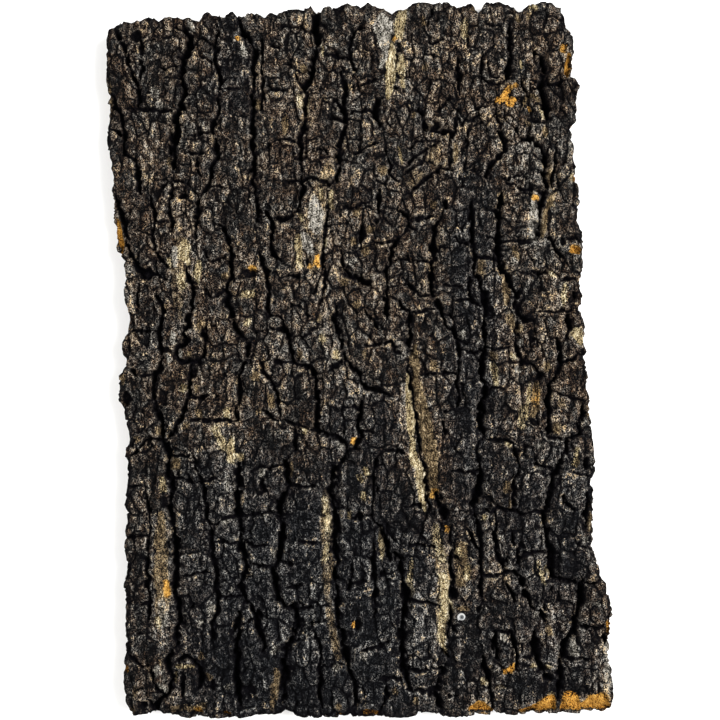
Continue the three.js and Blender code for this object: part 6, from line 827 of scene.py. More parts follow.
for width, *numbers in FURROWS + CRACKS + FINE_CRACKS:
    path = points_of(numbers)
    depth = min(MAX_FURROW_DEPTH, LEAST_DEPTH + DEPTH_PER_WIDTH * width)
    # How dark the painted shade beside a line gets, and how far from its wall it reaches.
    darkest_shade, shade_reach = min(0.12 + 0.13 * width, 0.55), min(0.9 + 0.5 * width, 3)
    lengths = np.hypot(*np.diff(path, axis=0).T)
    whole, passed = lengths.sum(), 0.0
    for (ax, ay), (bx, by), length in zip(path, path[1:], lengths):
        window = near_line(ax, ay, bx, by, width / 2 + PLATE_REACH)
        px, py = ragged_x[window] - ax, ragged_y[window] - ay
        share, distance = beside(px, py, bx - ax, by - ay, length**2)
        distance = distance + 0.4 * middle[window] + 0.25 * small[window]
        place = passed + share * length
        half = width / 2 * np.clip(TIP + np.minimum(place, whole - place) / TAPER, 0, 1) * gape[window]
        wall = ease(half + SHOULDER - distance, 0, 0.8 * (width / 2 + SHOULDER))
        sunk = PLATE_SLUMP * depth * (1 - ease(distance - half, 0, PLATE_REACH - 1))
        # Painted shade: the plate's colour is darkened close to the wall.
        darkening = darkest_shade * (1 - ease(distance - half, 0.1, shade_reach))
        cut[window] = np.maximum(cut[window], depth * wall)
        slump[window] = np.maximum(slump[window], sunk)
        painted_wall_shade[window] = np.maximum(painted_wall_shade[window], darkening)
        clear[window] = np.minimum(clear[window], distance - half)
        passed += length
for px, py, half_width, half_length, depth in POCKETS + SMALL_HOLES:
    window = near(px - 2 * half_width, py - 2 * half_length, px + 2 * half_width, py + 2 * half_length)
    away = np.hypot((ragged_x[window] - px) / half_width, (ragged_y[window] - py) / half_length)
    away = away / gape[window]
    cut[window] = np.maximum(cut[window], depth * ease(1.25 - away, 0, 0.7))
    clear[window] = np.minimum(clear[window], (away - 1) * min(half_width, half_length))


def patches(rows):
    """A mask of ragged patches, each 1 well inside (a / half width)^3 + (b / half length)^3 = 1, where a and
    b are measured along its own axes, and 0 well outside."""
    mask = np.zeros((ROWS, COLUMNS))
    for px, py, half_width, half_length, tilt, strength in rows:
        size = PATCH_REACH * max(half_width, half_length)
        window = near(px - size, py - size, px + size, py + size)
        dx, dy = ragged_x[window] - px, ragged_y[window] - py
        turn = np.radians(tilt)
        a = (dx * np.cos(turn) + dy * np.sin(turn)) / half_width
        b = (dy * np.cos(turn) - dx * np.sin(turn)) / half_length
        away = (np.abs(a) ** 3 + np.abs(b) ** 3) ** (1 / 3)
        mask[window] = np.maximum(mask[window], strength * (1 - ease(away, PATCH_FULL, PATCH_GONE)))
    return mask


def blurred(values, cells_out):
    """Each value's mean over a square that reaches so many grid points out, by running sums."""
    for axis in (0, 1):
        padded = np.concatenate([np.repeat(np.take(values, [0], axis), cells_out + 1, axis), values,
                                 np.repeat(np.take(values, [-1], axis), cells_out, axis)], axis)
        sums = np.cumsum(padded, axis)
        size = 2 * cells_out + 1
        values = (np.take(sums, range(size, sums.shape[axis]), axis)
                  - np.take(sums, range(sums.shape[axis] - size), axis)) / size
    return values


def streaks(rows):
    """A mask of ragged streaks, each 1 near its line and 0 a third beyond its changing half width."""
    mask = np.zeros((ROWS, COLUMNS))
    for strength, *numbers in rows:
        path = np.reshape(np.array(numbers, float), (-1, 3))
        for (ax, ay, first), (bx, by, last) in zip(path, path[1:]):
            window = near_line(ax, ay, bx, by, PATCH_REACH * max(first, last))
            px = (x[window] + ragged_x[window]) / 2 - ax
            py = (y[window] + ragged_y[window]) / 2 - ay
            share, away = beside(px, py, bx - ax, by - ay, (bx - ax) ** 2 + (by - ay) ** 2)
            away = away / (first + share * (last - first))
            mask[window] = np.maximum(mask[window], strength * (1 - ease(away, PATCH_FULL, PATCH_GONE)))
    return mask


straw = np.maximum(patches(STRAW), streaks(STRAW_STREAKS))
chalk = np.maximum(patches(CHALK), streaks(CHALK_STREAKS))
tan = np.maximum(patches(TAN), streaks(TAN_STREAKS))
rust = np.maximum(patches(RUST), streaks(RUST_STREAKS))
# Paler crust, less the painted shade of crust that lies deeper.
pale_less_painted_shade = streaks(PALE_STREAKS) - streaks(PAINTED_SHADE_STREAKS)

# Heights in mm. Plates stand at unlike heights and are rounded towards the cracks. They are made up of
# blocks of three sizes, which here and there have come apart, and fibres run up the trunk.
broad = 1.1 * np.sin(x / 41 + 0.6) * np.cos(y / 67) + 0.6 * np.sin(y / 29 + x / 90)
level = CREST - 0.4 + broad + 1.2 * noise(x, y, 17, 17, 1) + 0.7 * noise(x, y, 8, 8, 2)
shoulder = slump * (0.75 + 0.5 * noise(x, y, 6, 6, 27)) + 0.3 * np.exp(-np.maximum(clear, 0) / 0.6)
bare = np.clip(straw + 0.6 * rust, 0, 1)
broken_up = ease(noise(x, y, 19, 19, 26), -0.45, 0.35)
crumbly = ease(noise(x, y, 9, 13, 29), -0.3, 0.5)
lumps = 0.55 * noise(ragged_x, ragged_y, 4.4, 5.2, 20) + 0.25 * noise(ragged_x, ragged_y, 2.3, 2.9, 21)
lumps = lumps + 0.18 * small + 0.2 * noise(ragged_x, ragged_y, 1.3, 1.5, 22)
fibres = 0.4 * noise(ragged_x, ragged_y, 1.5, 8, 23) + 0.4 * noise(ragged_x, ragged_y, 3, 17, 24)
rough = 0.75 * lumps + 0.8 * big + 0.42 * crumbly * middle
rough = rough - broken_up * (1.9 * (1 - ease(big_edge, 0, 0.13)) + 1.3 * (1 - ease(big_edge, 0, 0.55)))
rough = rough - crumbly * (0.8 * (1 - ease(middle_edge, 0, 0.16)) + 0.45 * (1 - ease(middle_edge, 0, 0.6)))

# A plate's upper and right rims, which face the key light, stand a little proud and carry a painted
# highlight, but not all along.
down, along = np.gradient(clear)
facing_key_light = np.clip((0.75 * down - 0.65 * along) / np.maximum(np.hypot(down, along), 1e-6), 0, 1)
raised_lit_rim = ease(clear, -0.4, 0.3) * (1 - ease(clear, 0.9, 2.2)) * facing_key_light
raised_lit_rim = raised_lit_rim * ease(noise(x, y, 5, 7, 30), -0.6, 0.5)
z = level - shoulder - cut * (0.88 + 0.4 * noise(x, y, 4, 6, 28))
ribs = np.sin(y * 1.85 + 0.1 * x + noise(x, y, 5, 5, 46)) * patches([RIBBED_PLATE])
z = z + 0.35 * ribs + rough * (1 - 0.65 * bare) + fibres * (1 + 0.6 * bare) - 1.2 * bare + 0.5 * raised_lit_rim
drop = EDGE_DROP * (0.7 + 0.6 * noise(x, y, 12, 12, 3)) * np.exp(-((from_rim / 3.2) ** 2))
z = z - drop - 6.0 * rust * np.exp(-((from_rim / 9.0) ** 2))
shelf = 1 - ease(np.hypot(x - SHELL_PLACE[0], y - SHELL_PLACE[1]), SHELF_RADIUS, SHELF_REACH)
z = np.clip(z * (1 - shelf) + SHELF_HEIGHT * shelf, LEAST_HEIGHT, HIGHEST)
# Painted shade: the colour goes near black with depth below the plates' level and next to the walls, less on
# golden cork. The broken sides take a little of it too.
painted_hollow_shade = (painted_wall_shade + (1 - painted_wall_shade) * ease(level - z, 0.8, 9.5)) * (1 - 0.9 * rust)
aged = blurred(patches(AGED), 12)

# How far a place stands out of its surroundings, as painted light and shade: a painted highlight on
# crests above 0 and painted shade in crevices below, with the rims' painted highlight added.
painted_relief_light_and_shade = np.clip(1.1 * (z - blurred(z, 2)), -0.7, 0.5) + np.clip(0.45 * (z - blurred(z, 6)), -0.7, 0.5)
painted_relief_light_and_shade = painted_relief_light_and_shade + 0.9 * raised_lit_rim

# The broken side goes down from the rim in rings, each a little way in, and the flat back goes on from it
# in rings that shrink towards the middle.
CHORD = 9  # points to each side that give the rim's direction
index = np.arange(ROWS * COLUMNS).reshape(ROWS, COLUMNS)
rim = np.concatenate((index[:-1, 0], index[-1, :-1], index[:0:-1, -1], index[0, :0:-1]))
count = len(rim)
rim_x, rim_y, rim_z = x.ravel()[rim], y.ravel()[rim], z.ravel()[rim]
chord_x = np.roll(rim_x, -CHORD) - np.roll(rim_x, CHORD)
chord_y = np.roll(rim_y, -CHORD) - np.roll(rim_y, CHORD)
chord = np.hypot(chord_x, chord_y)
place = np.arange(count) * RIM_STEP
share = (np.arange(1, SIDE_RINGS + 1) / SIDE_RINGS)[:, None]
side_z = rim_z * (1 - share)
below_rim = rim_z - side_z
around = place + 0 * side_z
pitted, _, _ = blocks(around, side_z, 2.3, 2.3, 41)
chipped = ease(noise(around, side_z, 9, 7, 47), 0.1, 0.7)
broken = 0.25 + 0.55 * (1 + noise(around, side_z, 5, 3.2, 42)) + 0.35 * (1.3 + pitted) + 1.3 * chipped
broken = broken * ease(below_rim, 0, 1.6) * (1 - 0.45 * ease(below_rim, 6, 14))
side_x = rim_x - chord_y / chord * broken
side_y = rim_y + chord_x / chord * broken
shrink = (1 - np.arange(1, BACK_RINGS + 1) / (BACK_RINGS + 0.02))[:, None]
back_x, back_y = side_x[-1] * shrink, side_y[-1] * shrink
_, pores, _ = blocks(back_x, back_y, 5.5, 4.0, 43)
back_z = 0.3 * (1 - ease(pores, 0.03, 0.12)) + 0.2 * (1 + noise(back_x, back_y, 9, 40, 44))
ragged_depth = below_rim + 1.6 * noise(around, side_z, 4, 3, 45) + 2.4 * noise(place, 0 * place, 21, 1, 48)
side_cork = ease(ragged_depth + 9 * rust.ravel()[rim], CRUST_END, CORK_START)

all_x = np.concatenate((x.ravel(), side_x.ravel(), back_x.ravel(), [0.0]))
all_y = np.concatenate((y.ravel(), side_y.ravel(), back_y.ravel(), [0.0]))
all_z = np.concatenate((z.ravel(), side_z.ravel(), back_z.ravel(), [0.0]))
bark_points = np.stack((all_x, all_y, all_z), axis=-1) * MILLIMETRE


def quads_between(points, beside_them):
    """Quads over a grid of points, from each to the next row and to the same point of the grid beside it."""
    return np.stack((points[:-1], points[1:], beside_them[1:], beside_them[:-1]), axis=-1).reshape(-1, 4)


face = quads_between(index[:, :-1], index[:, 1:])
lower_rings = ROWS * COLUMNS + np.arange((SIDE_RINGS + BACK_RINGS) * count).reshape(-1, count)
rings = np.vstack((rim, lower_rings))
after = np.roll(rings, -1, axis=1)
walls = quads_between(rings, after)
centre = np.full(count, len(all_x) - 1)
fan = np.stack((rings[-1], centre, after[-1]), axis=-1)


def mesh_from(name, points, quads, triangles):
    """A smooth mesh of the points, in metres, with these quads and then these triangles."""
    mesh = bpy.data.meshes.new(name)
    mesh.vertices.add(len(points))
    mesh.vertices.foreach_set("co", points.astype(np.float32).ravel())
    mesh.loops.add(quads.size + triangles.size)
    corners = np.concatenate((quads.ravel(), triangles.ravel()))
    mesh.loops.foreach_set("vertex_index", corners.astype(np.int32))
    mesh.polygons.add(len(quads) + len(triangles))
    starts = np.concatenate((np.arange(len(quads)) * 4, quads.size + np.arange(len(triangles)) * 3))
    mesh.polygons.foreach_set("loop_start", starts.astype(np.int32))
    mesh.update(calc_edges=True)
    mesh.shade_smooth()
    return mesh


def add_attribute(mesh, name, values):
    """One value for each point of a mesh, for the materials to read."""
    attribute = mesh.attributes.new(name, "FLOAT", "POINT")
    attribute.data.foreach_set("value", values.astype(np.float32).ravel())


def add_object(name, data):
    """A new object of the scene, at its origin."""
    thing = bpy.data.objects.new(name, data)
    bpy.context.scene.collection.objects.link(thing)
    return thing


bark_mesh = mesh_from("bark", bark_points, np.vstack((face, walls)), fan)
face_like, side_like = np.zeros((ROWS, COLUMNS)), np.zeros((SIDE_RINGS, count))
back_like = np.zeros(BACK_RINGS * count + 1)
for name, on_face, on_sides, on_back in (
    ("straw", straw, 0, 0),
    ("chalk", chalk, 0, 0),
    ("tan", tan, 0, 0),
    ("rust", rust, 0, 0),
    ("pale_less_painted_shade", pale_less_painted_shade, 0, 0),
    ("painted_hollow_shade", painted_hollow_shade, 0.3, 0),
    ("painted_relief_light_and_shade", painted_relief_light_and_shade, 0, 0),
    ("tone", 0.6 * tone + 0.4 * crumbly * middle_tone, 0, 0),
    ("aged", aged, 0, 0),
    ("cork", 0, side_cork, 1),
    ("back", 0, 0, 1),
):
    parts = (face_like + on_face).ravel(), (side_like + on_sides).ravel(), back_like + on_back
    add_attribute(bark_mesh, name, np.concatenate(parts))
bark = add_object("bark", bark_mesh)
fewer = bark.modifiers.new("Fewer faces", "DECIMATE")
fewer.ratio = MOST_TRIANGLES / (2 * len(face) + 2 * len(walls) + len(fan))
depsgraph = bpy.context.evaluated_depsgraph_get()
bark_mesh = bpy.data.meshes.new_from_object(bark.evaluated_get(depsgraph))
bark.modifiers.clear()
bark.data = bark_mesh
bark_mesh.shade_smooth()
corners = np.empty(3 * len(bark_mesh.vertices), np.float32)
bark_mesh.vertices.foreach_get("co", corners)
for axis, (low, high) in enumerate(zip(*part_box("bark_slab"))):
    corners[axis::3] = np.clip(corners[axis::3], low, high)
bark_mesh.vertices.foreach_set("co", corners)
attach(bark, "root")
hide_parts("bark_slab")


def link(tree, source, target):
    """A wire from one node's output to another's input."""
    tree.links.new(source, target)


def math_node(tree, operation, first, second, clamp=False):
    """What one operation makes of two values, each a socket or a number."""
    node = tree.nodes.new("ShaderNodeMath")
    node.operation = operation
    node.use_clamp = clamp
    for socket, value in zip(node.inputs, (first, second)):
        if isinstance(value, (int, float)):
            socket.default_value = value
        else:
            link(tree, value, socket)
    return node.outputs[0]


def weighted(tree, *terms, offset=0.0):
    """The sum of each term's value times its weight, plus an offset."""
    total = offset
    for value, weight in terms:
        total = math_node(tree, "ADD", math_node(tree, "MULTIPLY", value, weight), total)
    return total


def ramp_node(tree, fac, stops):
    """Colours by place along a 0 to 1 mask: each stop is its place and its red, green and blue."""
    node = tree.nodes.new("ShaderNodeValToRGB")
    while len(node.color_ramp.elements) < len(stops):
        node.color_ramp.elements.new(0.5)
    for element, (position, *colour) in zip(node.color_ramp.elements, stops):
        element.position = position
        element.color = (*colour, 1)
    link(tree, fac, node.inputs[0])
    return node.outputs[0]


def mix_colours(tree, fac, first, second):
    """The first colour where fac is 0 and the second where it is 1, each a socket or red, green and blue."""
    node = tree.nodes.new("ShaderNodeMix")
    node.data_type = "RGBA"
    for name, value in (("Factor", fac), ("A", first), ("B", second)):
        socket = next(s for s in node.inputs if s.name == name and s.enabled)
        if isinstance(value, bpy.types.NodeSocket):
            link(tree, value, socket)
        else:
            socket.default_value = value if name == "Factor" else (*value, 1)
    return next(s for s in node.outputs if s.enabled)


def attribute_node(tree, name):
    """The mesh's own value of that name at each point."""
    node = tree.nodes.new("ShaderNodeAttribute")
    node.attribute_type = "GEOMETRY"
    node.attribute_name = name
    return node.outputs["Fac"]


def new_group(name, settings, results):
    """A node group for cells of a set size, with these other settings and these results, and its input and
    output nodes."""
    tree = bpy.data.node_groups.new(name, "ShaderNodeTree")
    tree.interface.new_socket("Cells per metre", in_out="INPUT", socket_type="NodeSocketVector")
    for setting in settings:
        tree.interface.new_socket(setting, in_out="INPUT", socket_type="NodeSocketFloat")
    for result in results:
        tree.interface.new_socket(result, in_out="OUTPUT", socket_type="NodeSocketFloat")
    return tree, tree.nodes.new("NodeGroupInput"), tree.nodes.new("NodeGroupOutput")


def make_grain():
    """A group that gives a mask of grain: noise with so many Cells per metre, spread from Low to High."""
    tree, inputs, outputs = new_group("Grain", ("Octaves", "Low", "High"), ("Mask",))
    place = tree.nodes.new("ShaderNodeTexCoord")
    stretch = tree.nodes.new("ShaderNodeVectorMath")
    stretch.operation = "MULTIPLY"
    texture = tree.nodes.new("ShaderNodeTexNoise")
    texture.inputs["Scale"].default_value = 1
    texture.inputs["Roughness"].default_value = 0.85
    spread = tree.nodes.new("ShaderNodeMapRange")
    link(tree, place.outputs["Object"], stretch.inputs[0])
    link(tree, inputs.outputs["Cells per metre"], stretch.inputs[1])
    link(tree, stretch.outputs[0], texture.inputs["Vector"])
    link(tree, inputs.outputs["Octaves"], texture.inputs["Detail"])
    link(tree, texture.outputs[0], spread.inputs["Value"])
    link(tree, inputs.outputs["Low"], spread.inputs["From Min"])
    link(tree, inputs.outputs["High"], spread.inputs["From Max"])
    link(tree, spread.outputs[0], outputs.inputs["Mask"])
    return tree


def make_crackle():
    """A group that gives thin cracks between blocks, and a tone for each block. Cells per metre sets the
    blocks, which noise bends, and Width is a crack's, in cells."""
    tree, inputs, outputs = new_group("Crackle", ("Width",), ("Crack", "Tone"))
    place = tree.nodes.new("ShaderNodeTexCoord")
    stretch = tree.nodes.new("ShaderNodeVectorMath")
    stretch.operation = "MULTIPLY"
    bend = tree.nodes.new("ShaderNodeTexNoise")
    bend.inputs["Scale"].default_value = 1.3
    bend.inputs["Detail"].default_value = 3
    centred = tree.nodes.new("ShaderNodeVectorMath")
    centred.operation = "SUBTRACT"
    centred.inputs[1].default_value = (0.5, 0.5, 0.5)
    bent = tree.nodes.new("ShaderNodeVectorMath")
    bent.operation = "MULTIPLY_ADD"
    bent.inputs[1].default_value = (1.1, 1.1, 1.1)
    edges = tree.nodes.new("ShaderNodeTexVoronoi")
    edges.feature = "DISTANCE_TO_EDGE"
    edges.voronoi_dimensions = "2D"
    edges.inputs["Scale"].default_value = 1
    cells = tree.nodes.new("ShaderNodeTexVoronoi")
    cells.voronoi_dimensions = "2D"
    cells.inputs["Scale"].default_value = 1
    channels = tree.nodes.new("ShaderNodeSeparateColor")
    narrowed = tree.nodes.new("ShaderNodeMapRange")
    narrowed.inputs["To Min"].default_value = 1
    narrowed.inputs["To Max"].default_value = 0
    link(tree, place.outputs["Object"], stretch.inputs[0])
    link(tree, inputs.outputs["Cells per metre"], stretch.inputs[1])
    link(tree, stretch.outputs[0], bend.inputs["Vector"])
    link(tree, bend.outputs["Color"], centred.inputs[0])
    link(tree, centred.outputs[0], bent.inputs[0])
    link(tree, stretch.outputs[0], bent.inputs[2])
    link(tree, bent.outputs[0], edges.inputs["Vector"])
    link(tree, bent.outputs[0], cells.inputs["Vector"])
    link(tree, edges.outputs["Distance"], narrowed.inputs["Value"])
    link(tree, inputs.outputs["Width"], narrowed.inputs["From Max"])
    link(tree, narrowed.outputs[0], outputs.inputs["Crack"])
    link(tree, cells.outputs["Color"], channels.inputs[0])
    link(tree, channels.outputs["Red"], outputs.inputs["Tone"])
    return tree


grain = make_grain()
crackle = make_crackle()


def cells_per_metre(*sizes):
    """How many cells of these sizes, in mm, go into a metre."""
    return [1000 / size for size in sizes]


def crackle_node(tree, across, along, width):
    """Cracks and block tones for blocks of a size in mm, with cracks of a width in mm."""
    node = tree.nodes.new("ShaderNodeGroup")
    node.node_tree = crackle
    node.inputs["Cells per metre"].default_value = cells_per_metre(across, along, across)
    node.inputs["Width"].default_value = width / across
    return node.outputs["Crack"], node.outputs["Tone"]


def grain_mask(tree, across, along, octaves, low, high, through=None):
    """Grain of a size in mm across, along and, if that is another size, through the bark. The mask is 0
    where the noise is below low, and 1 where it is above high."""
    node = tree.nodes.new("ShaderNodeGroup")
    node.node_tree = grain
    node.inputs["Cells per metre"].default_value = cells_per_metre(across, along, through or across)
    node.inputs["Octaves"].default_value = octaves
    node.inputs["Low"].default_value = low
    node.inputs["High"].default_value = high
    return node.outputs["Mask"]


def add_bump(tree, shader, height, distance):
    """Bump of a material's surface, where a height of 1 stands so many metres out."""
    bump = tree.nodes.new("ShaderNodeBump")
    bump.inputs["Distance"].default_value = distance
    link(tree, height, bump.inputs["Height"])
    link(tree, bump.outputs[0], shader.inputs["Normal"])


def new_material(name):
    """A material, its node tree and its shader."""
    material = bpy.data.materials.new(name)
    material.use_nodes = True
    return material, material.node_tree, material.node_tree.nodes["Principled BSDF"]


def bark_material():
    """Dark crust, browner or greyer by region, with tan, chalky, straw-coloured and golden patches, cork
    on the walls and the back, painted light and shade on the relief, and painted shade in the hollows."""
    material, tree, shader = new_material("Cork oak bark")
    speckle = grain_mask(tree, 0.66, 0.85, octaves=0.3, low=0.3, high=0.56)
    flakes = grain_mask(tree, 1.9, 2.8, octaves=2.0, low=0.34, high=0.66)
    clusters = grain_mask(tree, 11, 16, octaves=4.0, low=0.34, high=0.66)
    fibre = grain_mask(tree, 1.2, 11, octaves=2.0, low=0.32, high=0.68)
    region = grain_mask(tree, 42, 55, octaves=3.0, low=0.4, high=0.6)
    wide_cracks, block_tone = crackle_node(tree, 7.5, 11, width=0.5)
    thin_cracks, crumb_tone = crackle_node(tree, 3.4, 4.8, width=0.35)
    cracked_areas = grain_mask(tree, 14, 22, octaves=2.0, low=0.4, high=0.55)
    crazed_areas = grain_mask(tree, 8, 11, octaves=2.0, low=0.42, high=0.6)
    cracks = weighted(tree, (math_node(tree, "MULTIPLY", wide_cracks, cracked_areas), 0.6),
                      (math_node(tree, "MULTIPLY", thin_cracks, crazed_areas), 0.3))
    tones = weighted(tree, (block_tone, 0.6), (crumb_tone, 0.4), offset=-0.5)
    grainy = weighted(tree, (speckle, 0.64), (flakes, 0.08), (clusters, 0.2), (fibre, 0.2), offset=-0.035)
    # The relief's painted light and shade and the deeper crust's painted shade go into the tone here.
    fine = weighted(tree, (grainy, 1.6), (attribute_node(tree, "painted_relief_light_and_shade"), 0.3),
                    (attribute_node(tree, "tone"), 0.1), (tones, 0.18), (cracks, -0.45),
                    (attribute_node(tree, "aged"), -0.1), (attribute_node(tree, "pale_less_painted_shade"), 0.24),
                    offset=-0.737)
    crust = ramp_node(tree, fine, [(0.12, 0.001, 0.0008, 0.0011), (0.34, 0.0043, 0.0042, 0.0043),
                                   (0.5, 0.0138, 0.0134, 0.0127), (0.62, 0.0365, 0.0345, 0.0315),
                                   (0.78, 0.0983, 0.0892, 0.0775), (1.0, 0.3, 0.278, 0.243)])
    brown = ramp_node(tree, fine, [(0.12, 0.0011, 0.0007, 0.0008), (0.34, 0.0058, 0.0041, 0.0034),
                                   (0.5, 0.0202, 0.0128, 0.009), (0.62, 0.051, 0.033, 0.0215),
                                   (0.78, 0.118, 0.082, 0.055), (1.0, 0.325, 0.26, 0.19)])
    rusty = ramp_node(tree, fine, [(0.12, 0.0013, 0.0007, 0.0005), (0.34, 0.008, 0.0043, 0.0025),
                                   (0.5, 0.031, 0.0142, 0.0062), (0.62, 0.078, 0.038, 0.0165),
                                   (0.78, 0.17, 0.093, 0.044), (1.0, 0.4, 0.26, 0.14)])
    grey = ramp_node(tree, fine, [(0.12, 0.0009, 0.0009, 0.0014), (0.34, 0.0038, 0.0042, 0.0053),
                                  (0.5, 0.0121, 0.0126, 0.0139), (0.62, 0.0332, 0.033, 0.0336),
                                  (0.78, 0.09, 0.087, 0.0825), (1.0, 0.3, 0.29, 0.27)])
    tinge = grain_mask(tree, 3.4, 4.6, octaves=2.0, low=0.38, high=0.62)
    browned = weighted(tree, (region, 0.5), (block_tone, 0.6), (crumb_tone, 0.5), (tinge, 0.6), offset=-0.66)
    colour = mix_colours(tree, browned, crust, brown)
    specks = grain_mask(tree, 2.4, 3.2, octaves=2.0, low=0.6, high=0.7)
    colour = mix_colours(tree, math_node(tree, "MULTIPLY", specks, browned, clamp=True), colour, rusty)
    greyed = weighted(tree, (attribute_node(tree, "aged"), 1.05), (tinge, -0.3), offset=0.08)
    colour = mix_colours(tree, greyed, colour, grey)
    woody = weighted(tree, (fibre, 0.4), (fine, 0.45), (flakes, 0.1), offset=0.08)
    ragged = weighted(tree, (fine, 0.4), (clusters, 0.4), offset=-0.4)
    for name, stops in {
        "tan": [(0.15, 0.0038, 0.0028, 0.0019), (0.45, 0.055, 0.036, 0.018),
                (0.8, 0.235, 0.17, 0.092), (1.0, 0.4, 0.33, 0.22)],
        "chalk": [(0.15, 0.009, 0.008, 0.0075), (0.45, 0.117, 0.105, 0.083), (0.85, 0.46, 0.43, 0.375)],
        "straw": [(0.1, 0.012, 0.008, 0.005), (0.4, 0.16, 0.113, 0.054),
                  (0.7, 0.48, 0.39, 0.22), (1.0, 0.78, 0.71, 0.55)],
        "rust": [(0.1, 0.08, 0.026, 0.005), (0.35, 0.43, 0.19, 0.026),
                 (0.7, 0.62, 0.33, 0.068), (1.0, 0.78, 0.47, 0.14)],
    }.items():
        spread = tree.nodes.new("ShaderNodeMapRange")
        spread.inputs["From Min"].default_value = 0.25
        spread.inputs["From Max"].default_value = 0.7
        link(tree, weighted(tree, (attribute_node(tree, name), 1), (ragged, 1)), spread.inputs["Value"])
        colour = mix_colours(tree, spread.outputs[0], colour, ramp_node(tree, woody, stops))
    rings = grain_mask(tree, 45, 45, octaves=2.0, low=0.36, high=0.64, through=1.5)
    pits = grain_mask(tree, 1.6, 1.6, octaves=2.0, low=0.56, high=0.66, through=1.2)
    broken_face = weighted(tree, (rings, 0.38), (flakes, 0.3), (clusters, 0.35), (pits, -0.6), offset=-0.02)
    cork = ramp_node(tree, broken_face, [(0.0, 0.012, 0.006, 0.003), (0.25, 0.085, 0.04, 0.016),
                                         (0.5, 0.225, 0.12, 0.045), (0.8, 0.42, 0.26, 0.115)])
    belly = ramp_node(tree, grainy, [(0.1, 0.077, 0.038, 0.019), (0.45, 0.22, 0.137, 0.073),
                                     (0.85, 0.335, 0.23, 0.137)])
    colour = mix_colours(tree, attribute_node(tree, "cork"), colour, cork)
    colour = mix_colours(tree, attribute_node(tree, "back"), colour, belly)
    # Painted shade: the hollows blend to a near-black, bluish shadow colour.
    colour = mix_colours(tree, attribute_node(tree, "painted_hollow_shade"), colour, (0.0022, 0.0017, 0.003))
    link(tree, colour, shader.inputs["Base Color"])
    shader.inputs["Roughness"].default_value = 0.92
    shader.inputs["Specular IOR Level"].default_value = 0.06
    add_bump(tree, shader, weighted(tree, (grainy, 1), (tones, 0.3), (cracks, -0.7)), distance=0.0016)
    return material


bark_mesh.materials.append(bark_material())

# Snail shell
# A small empty land-snail shell, washed into a hollow of the bark. A tube of chalk, it winds in a flat
# spiral round an open middle, and its lip points to the lower left.

# Lengths in millimetres, and the mouth's angle in radians.
SHELL_RADIUS, SHELL_TURNS, OPEN_MIDDLE = 3.05, 2.75, 0.42
TUBE_START, TUBE_MOUTH, TUBE_WALL = 0.2, 0.92, 0.12
MOUTH_ANGLE, MOUTH_LIFT = -2.3, 0.7
GROWTH = 1.2  # the power of the way along the tube by which the shell grows
GROWTH_LINES, LINE_HEIGHT = 70, 0.012
INSIDE_END = 0.7  # the inner wall goes back from the mouth to this share of the tube's length
SHELL_STEPS, SHELL_SIDES = 150, 20


def tube_rings(t, wall):
    """Rings of a tube, so far inside its outer surface. Its radius and its distance from the axis grow as t
    to the power GROWTH while it winds, with t 0 at the first turn and 1 at the mouth."""
    t = t[:, None]
    around = np.linspace(0, 2 * np.pi, SHELL_SIDES, endpoint=False)[None, :]
    grown = t**GROWTH
    radius = TUBE_START + (TUBE_MOUTH - TUBE_START) * grown - wall
    radius = radius + LINE_HEIGHT * np.sin(2 * np.pi * GROWTH_LINES * t)
    away = OPEN_MIDDLE + (SHELL_RADIUS - TUBE_MOUTH - OPEN_MIDDLE) * grown + radius * np.cos(around)
    angle = MOUTH_ANGLE + (t - 1) * SHELL_TURNS * 2 * np.pi
    up = MOUTH_LIFT * grown + radius * np.sin(around)
    return np.stack((away * np.cos(angle), away * np.sin(angle), up), axis=-1)


def shell_material():
    """Dull white chalk with a little dirt on it, and grey chalk with painted shade inside the coil."""
    material, tree, shader = new_material("Weathered chalk shell")
    growth_lines = grain_mask(tree, 0.5, 0.5, octaves=3.0, low=0.3, high=0.7)
    darkening = grain_mask(tree, 2.2, 2.2, octaves=3.0, low=0.35, high=0.7)
    chalky = ramp_node(tree, growth_lines, [(0.0, 0.26, 0.26, 0.25), (1.0, 0.43, 0.43, 0.425)])
    colour = mix_colours(tree, math_node(tree, "MULTIPLY", darkening, 0.4), chalky, (0.1, 0.085, 0.07))
    colour = mix_colours(tree, attribute_node(tree, "grey_and_shaded_coil"), colour, (0.055, 0.062, 0.066))
    link(tree, colour, shader.inputs["Base Color"])
    shader.inputs["Roughness"].default_value = 0.55
    add_bump(tree, shader, growth_lines, distance=0.00005)
    return material


outside = tube_rings(np.linspace(0, 1, SHELL_STEPS), 0)
inside = tube_rings(np.linspace(1, INSIDE_END, SHELL_STEPS // 3), TUBE_WALL)
tube = np.concatenate((outside, inside))
ends = np.stack((tube[0].mean(axis=0), tube[-1].mean(axis=0)))
shell_place = np.array((*SHELL_PLACE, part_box("snail_shell")[0].z * 1000 - tube[..., 2].min()))
shell_vertices = (np.concatenate((tube.reshape(-1, 3), ends)) + shell_place) * MILLIMETRE
ring = np.arange(len(tube) * SHELL_SIDES).reshape(-1, SHELL_SIDES)
turned = np.roll(ring, -1, axis=1)
shell_quads = quads_between(ring, turned)
first_cap = np.stack((ring[0], turned[0], 0 * ring[0] + len(shell_vertices) - 2), axis=-1)
last_cap = np.stack((turned[-1], ring[-1], 0 * ring[0] + len(shell_vertices) - 1), axis=-1)
shell_mesh = mesh_from("shell", shell_vertices, shell_quads, np.vstack((first_cap, last_cap)))
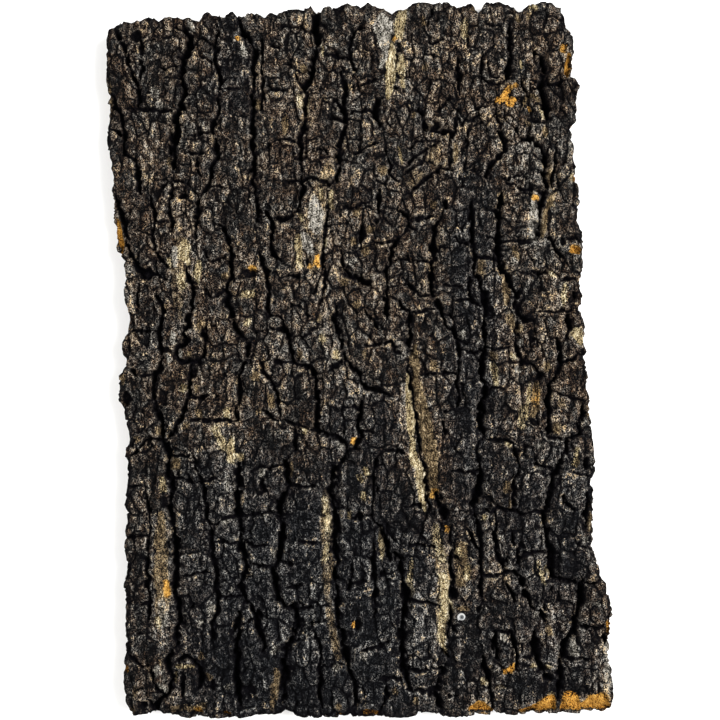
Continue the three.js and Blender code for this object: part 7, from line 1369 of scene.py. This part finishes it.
from_axis = np.hypot(tube[..., 0], tube[..., 1]).ravel()
# Grey chalk and painted shade, deepest near the coil's axis and at its first end.
add_attribute(shell_mesh, "grey_and_shaded_coil", np.concatenate((0.9 * (1 - ease(from_axis, 1.1, 1.75)), (0.9, 0))))
shell_mesh.materials.append(shell_material())
shell = add_object("shell", shell_mesh)
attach(shell, "root")
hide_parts("snail_shell")

# Floor, light and camera
# The panel lies on a pale floor. The camera looks straight down on it, as in the photograph, under a broad
# soft light from the right and the top.

# In metres. The floor lies just below the bark's flat back.
FLOOR_REACH, FLOOR_LEVEL = 4, -0.0002
CAMERA_HEIGHT = 1.301

corner_sides = ((-1, -1), (1, -1), (1, 1), (-1, 1))
floor_corners = [(side * FLOOR_REACH, end * FLOOR_REACH, FLOOR_LEVEL) for side, end in corner_sides]
floor_mesh = bpy.data.meshes.new("floor")
floor_mesh.from_pydata(floor_corners, [], [(0, 1, 2, 3)])
floor_material, _, floor_shader = new_material("Pale floor")
floor_shader.inputs["Base Color"].default_value = (0.86, 0.86, 0.85, 1)
floor_shader.inputs["Roughness"].default_value = 0.8
floor_mesh.materials.append(floor_material)
floor = add_object("floor", floor_mesh)

for name, place, size, power in (
    ("key", (1.6, 0.35, 2.0), 1.8, 120),
    ("fill", (-1.3, -0.2, 2.0), 2.2, 44),
):
    light = bpy.data.lights.new(name, "AREA")
    light.shape = "DISK"
    light.size = size
    light.energy = power
    lamp = add_object(name, light)
    lamp.location = place
    lamp.rotation_mode = "QUATERNION"
    lamp.rotation_quaternion = Vector(place).to_track_quat("Z", "Y")

world = bpy.data.worlds.new("Studio")
world.use_nodes = True
world.node_tree.nodes["Background"].inputs["Color"].default_value = (1, 1, 1, 1)
world.node_tree.nodes["Background"].inputs["Strength"].default_value = 0.66
bpy.context.scene.world = world
bpy.context.scene.view_settings.view_transform = "Standard"

camera_data = bpy.data.cameras.new("camera")
camera_data.lens = 100
camera_data.sensor_width = 36
camera = add_object("camera", camera_data)
camera.location = (0, 0, CAMERA_HEIGHT)
bpy.context.scene.camera = camera

low, high = cad_box
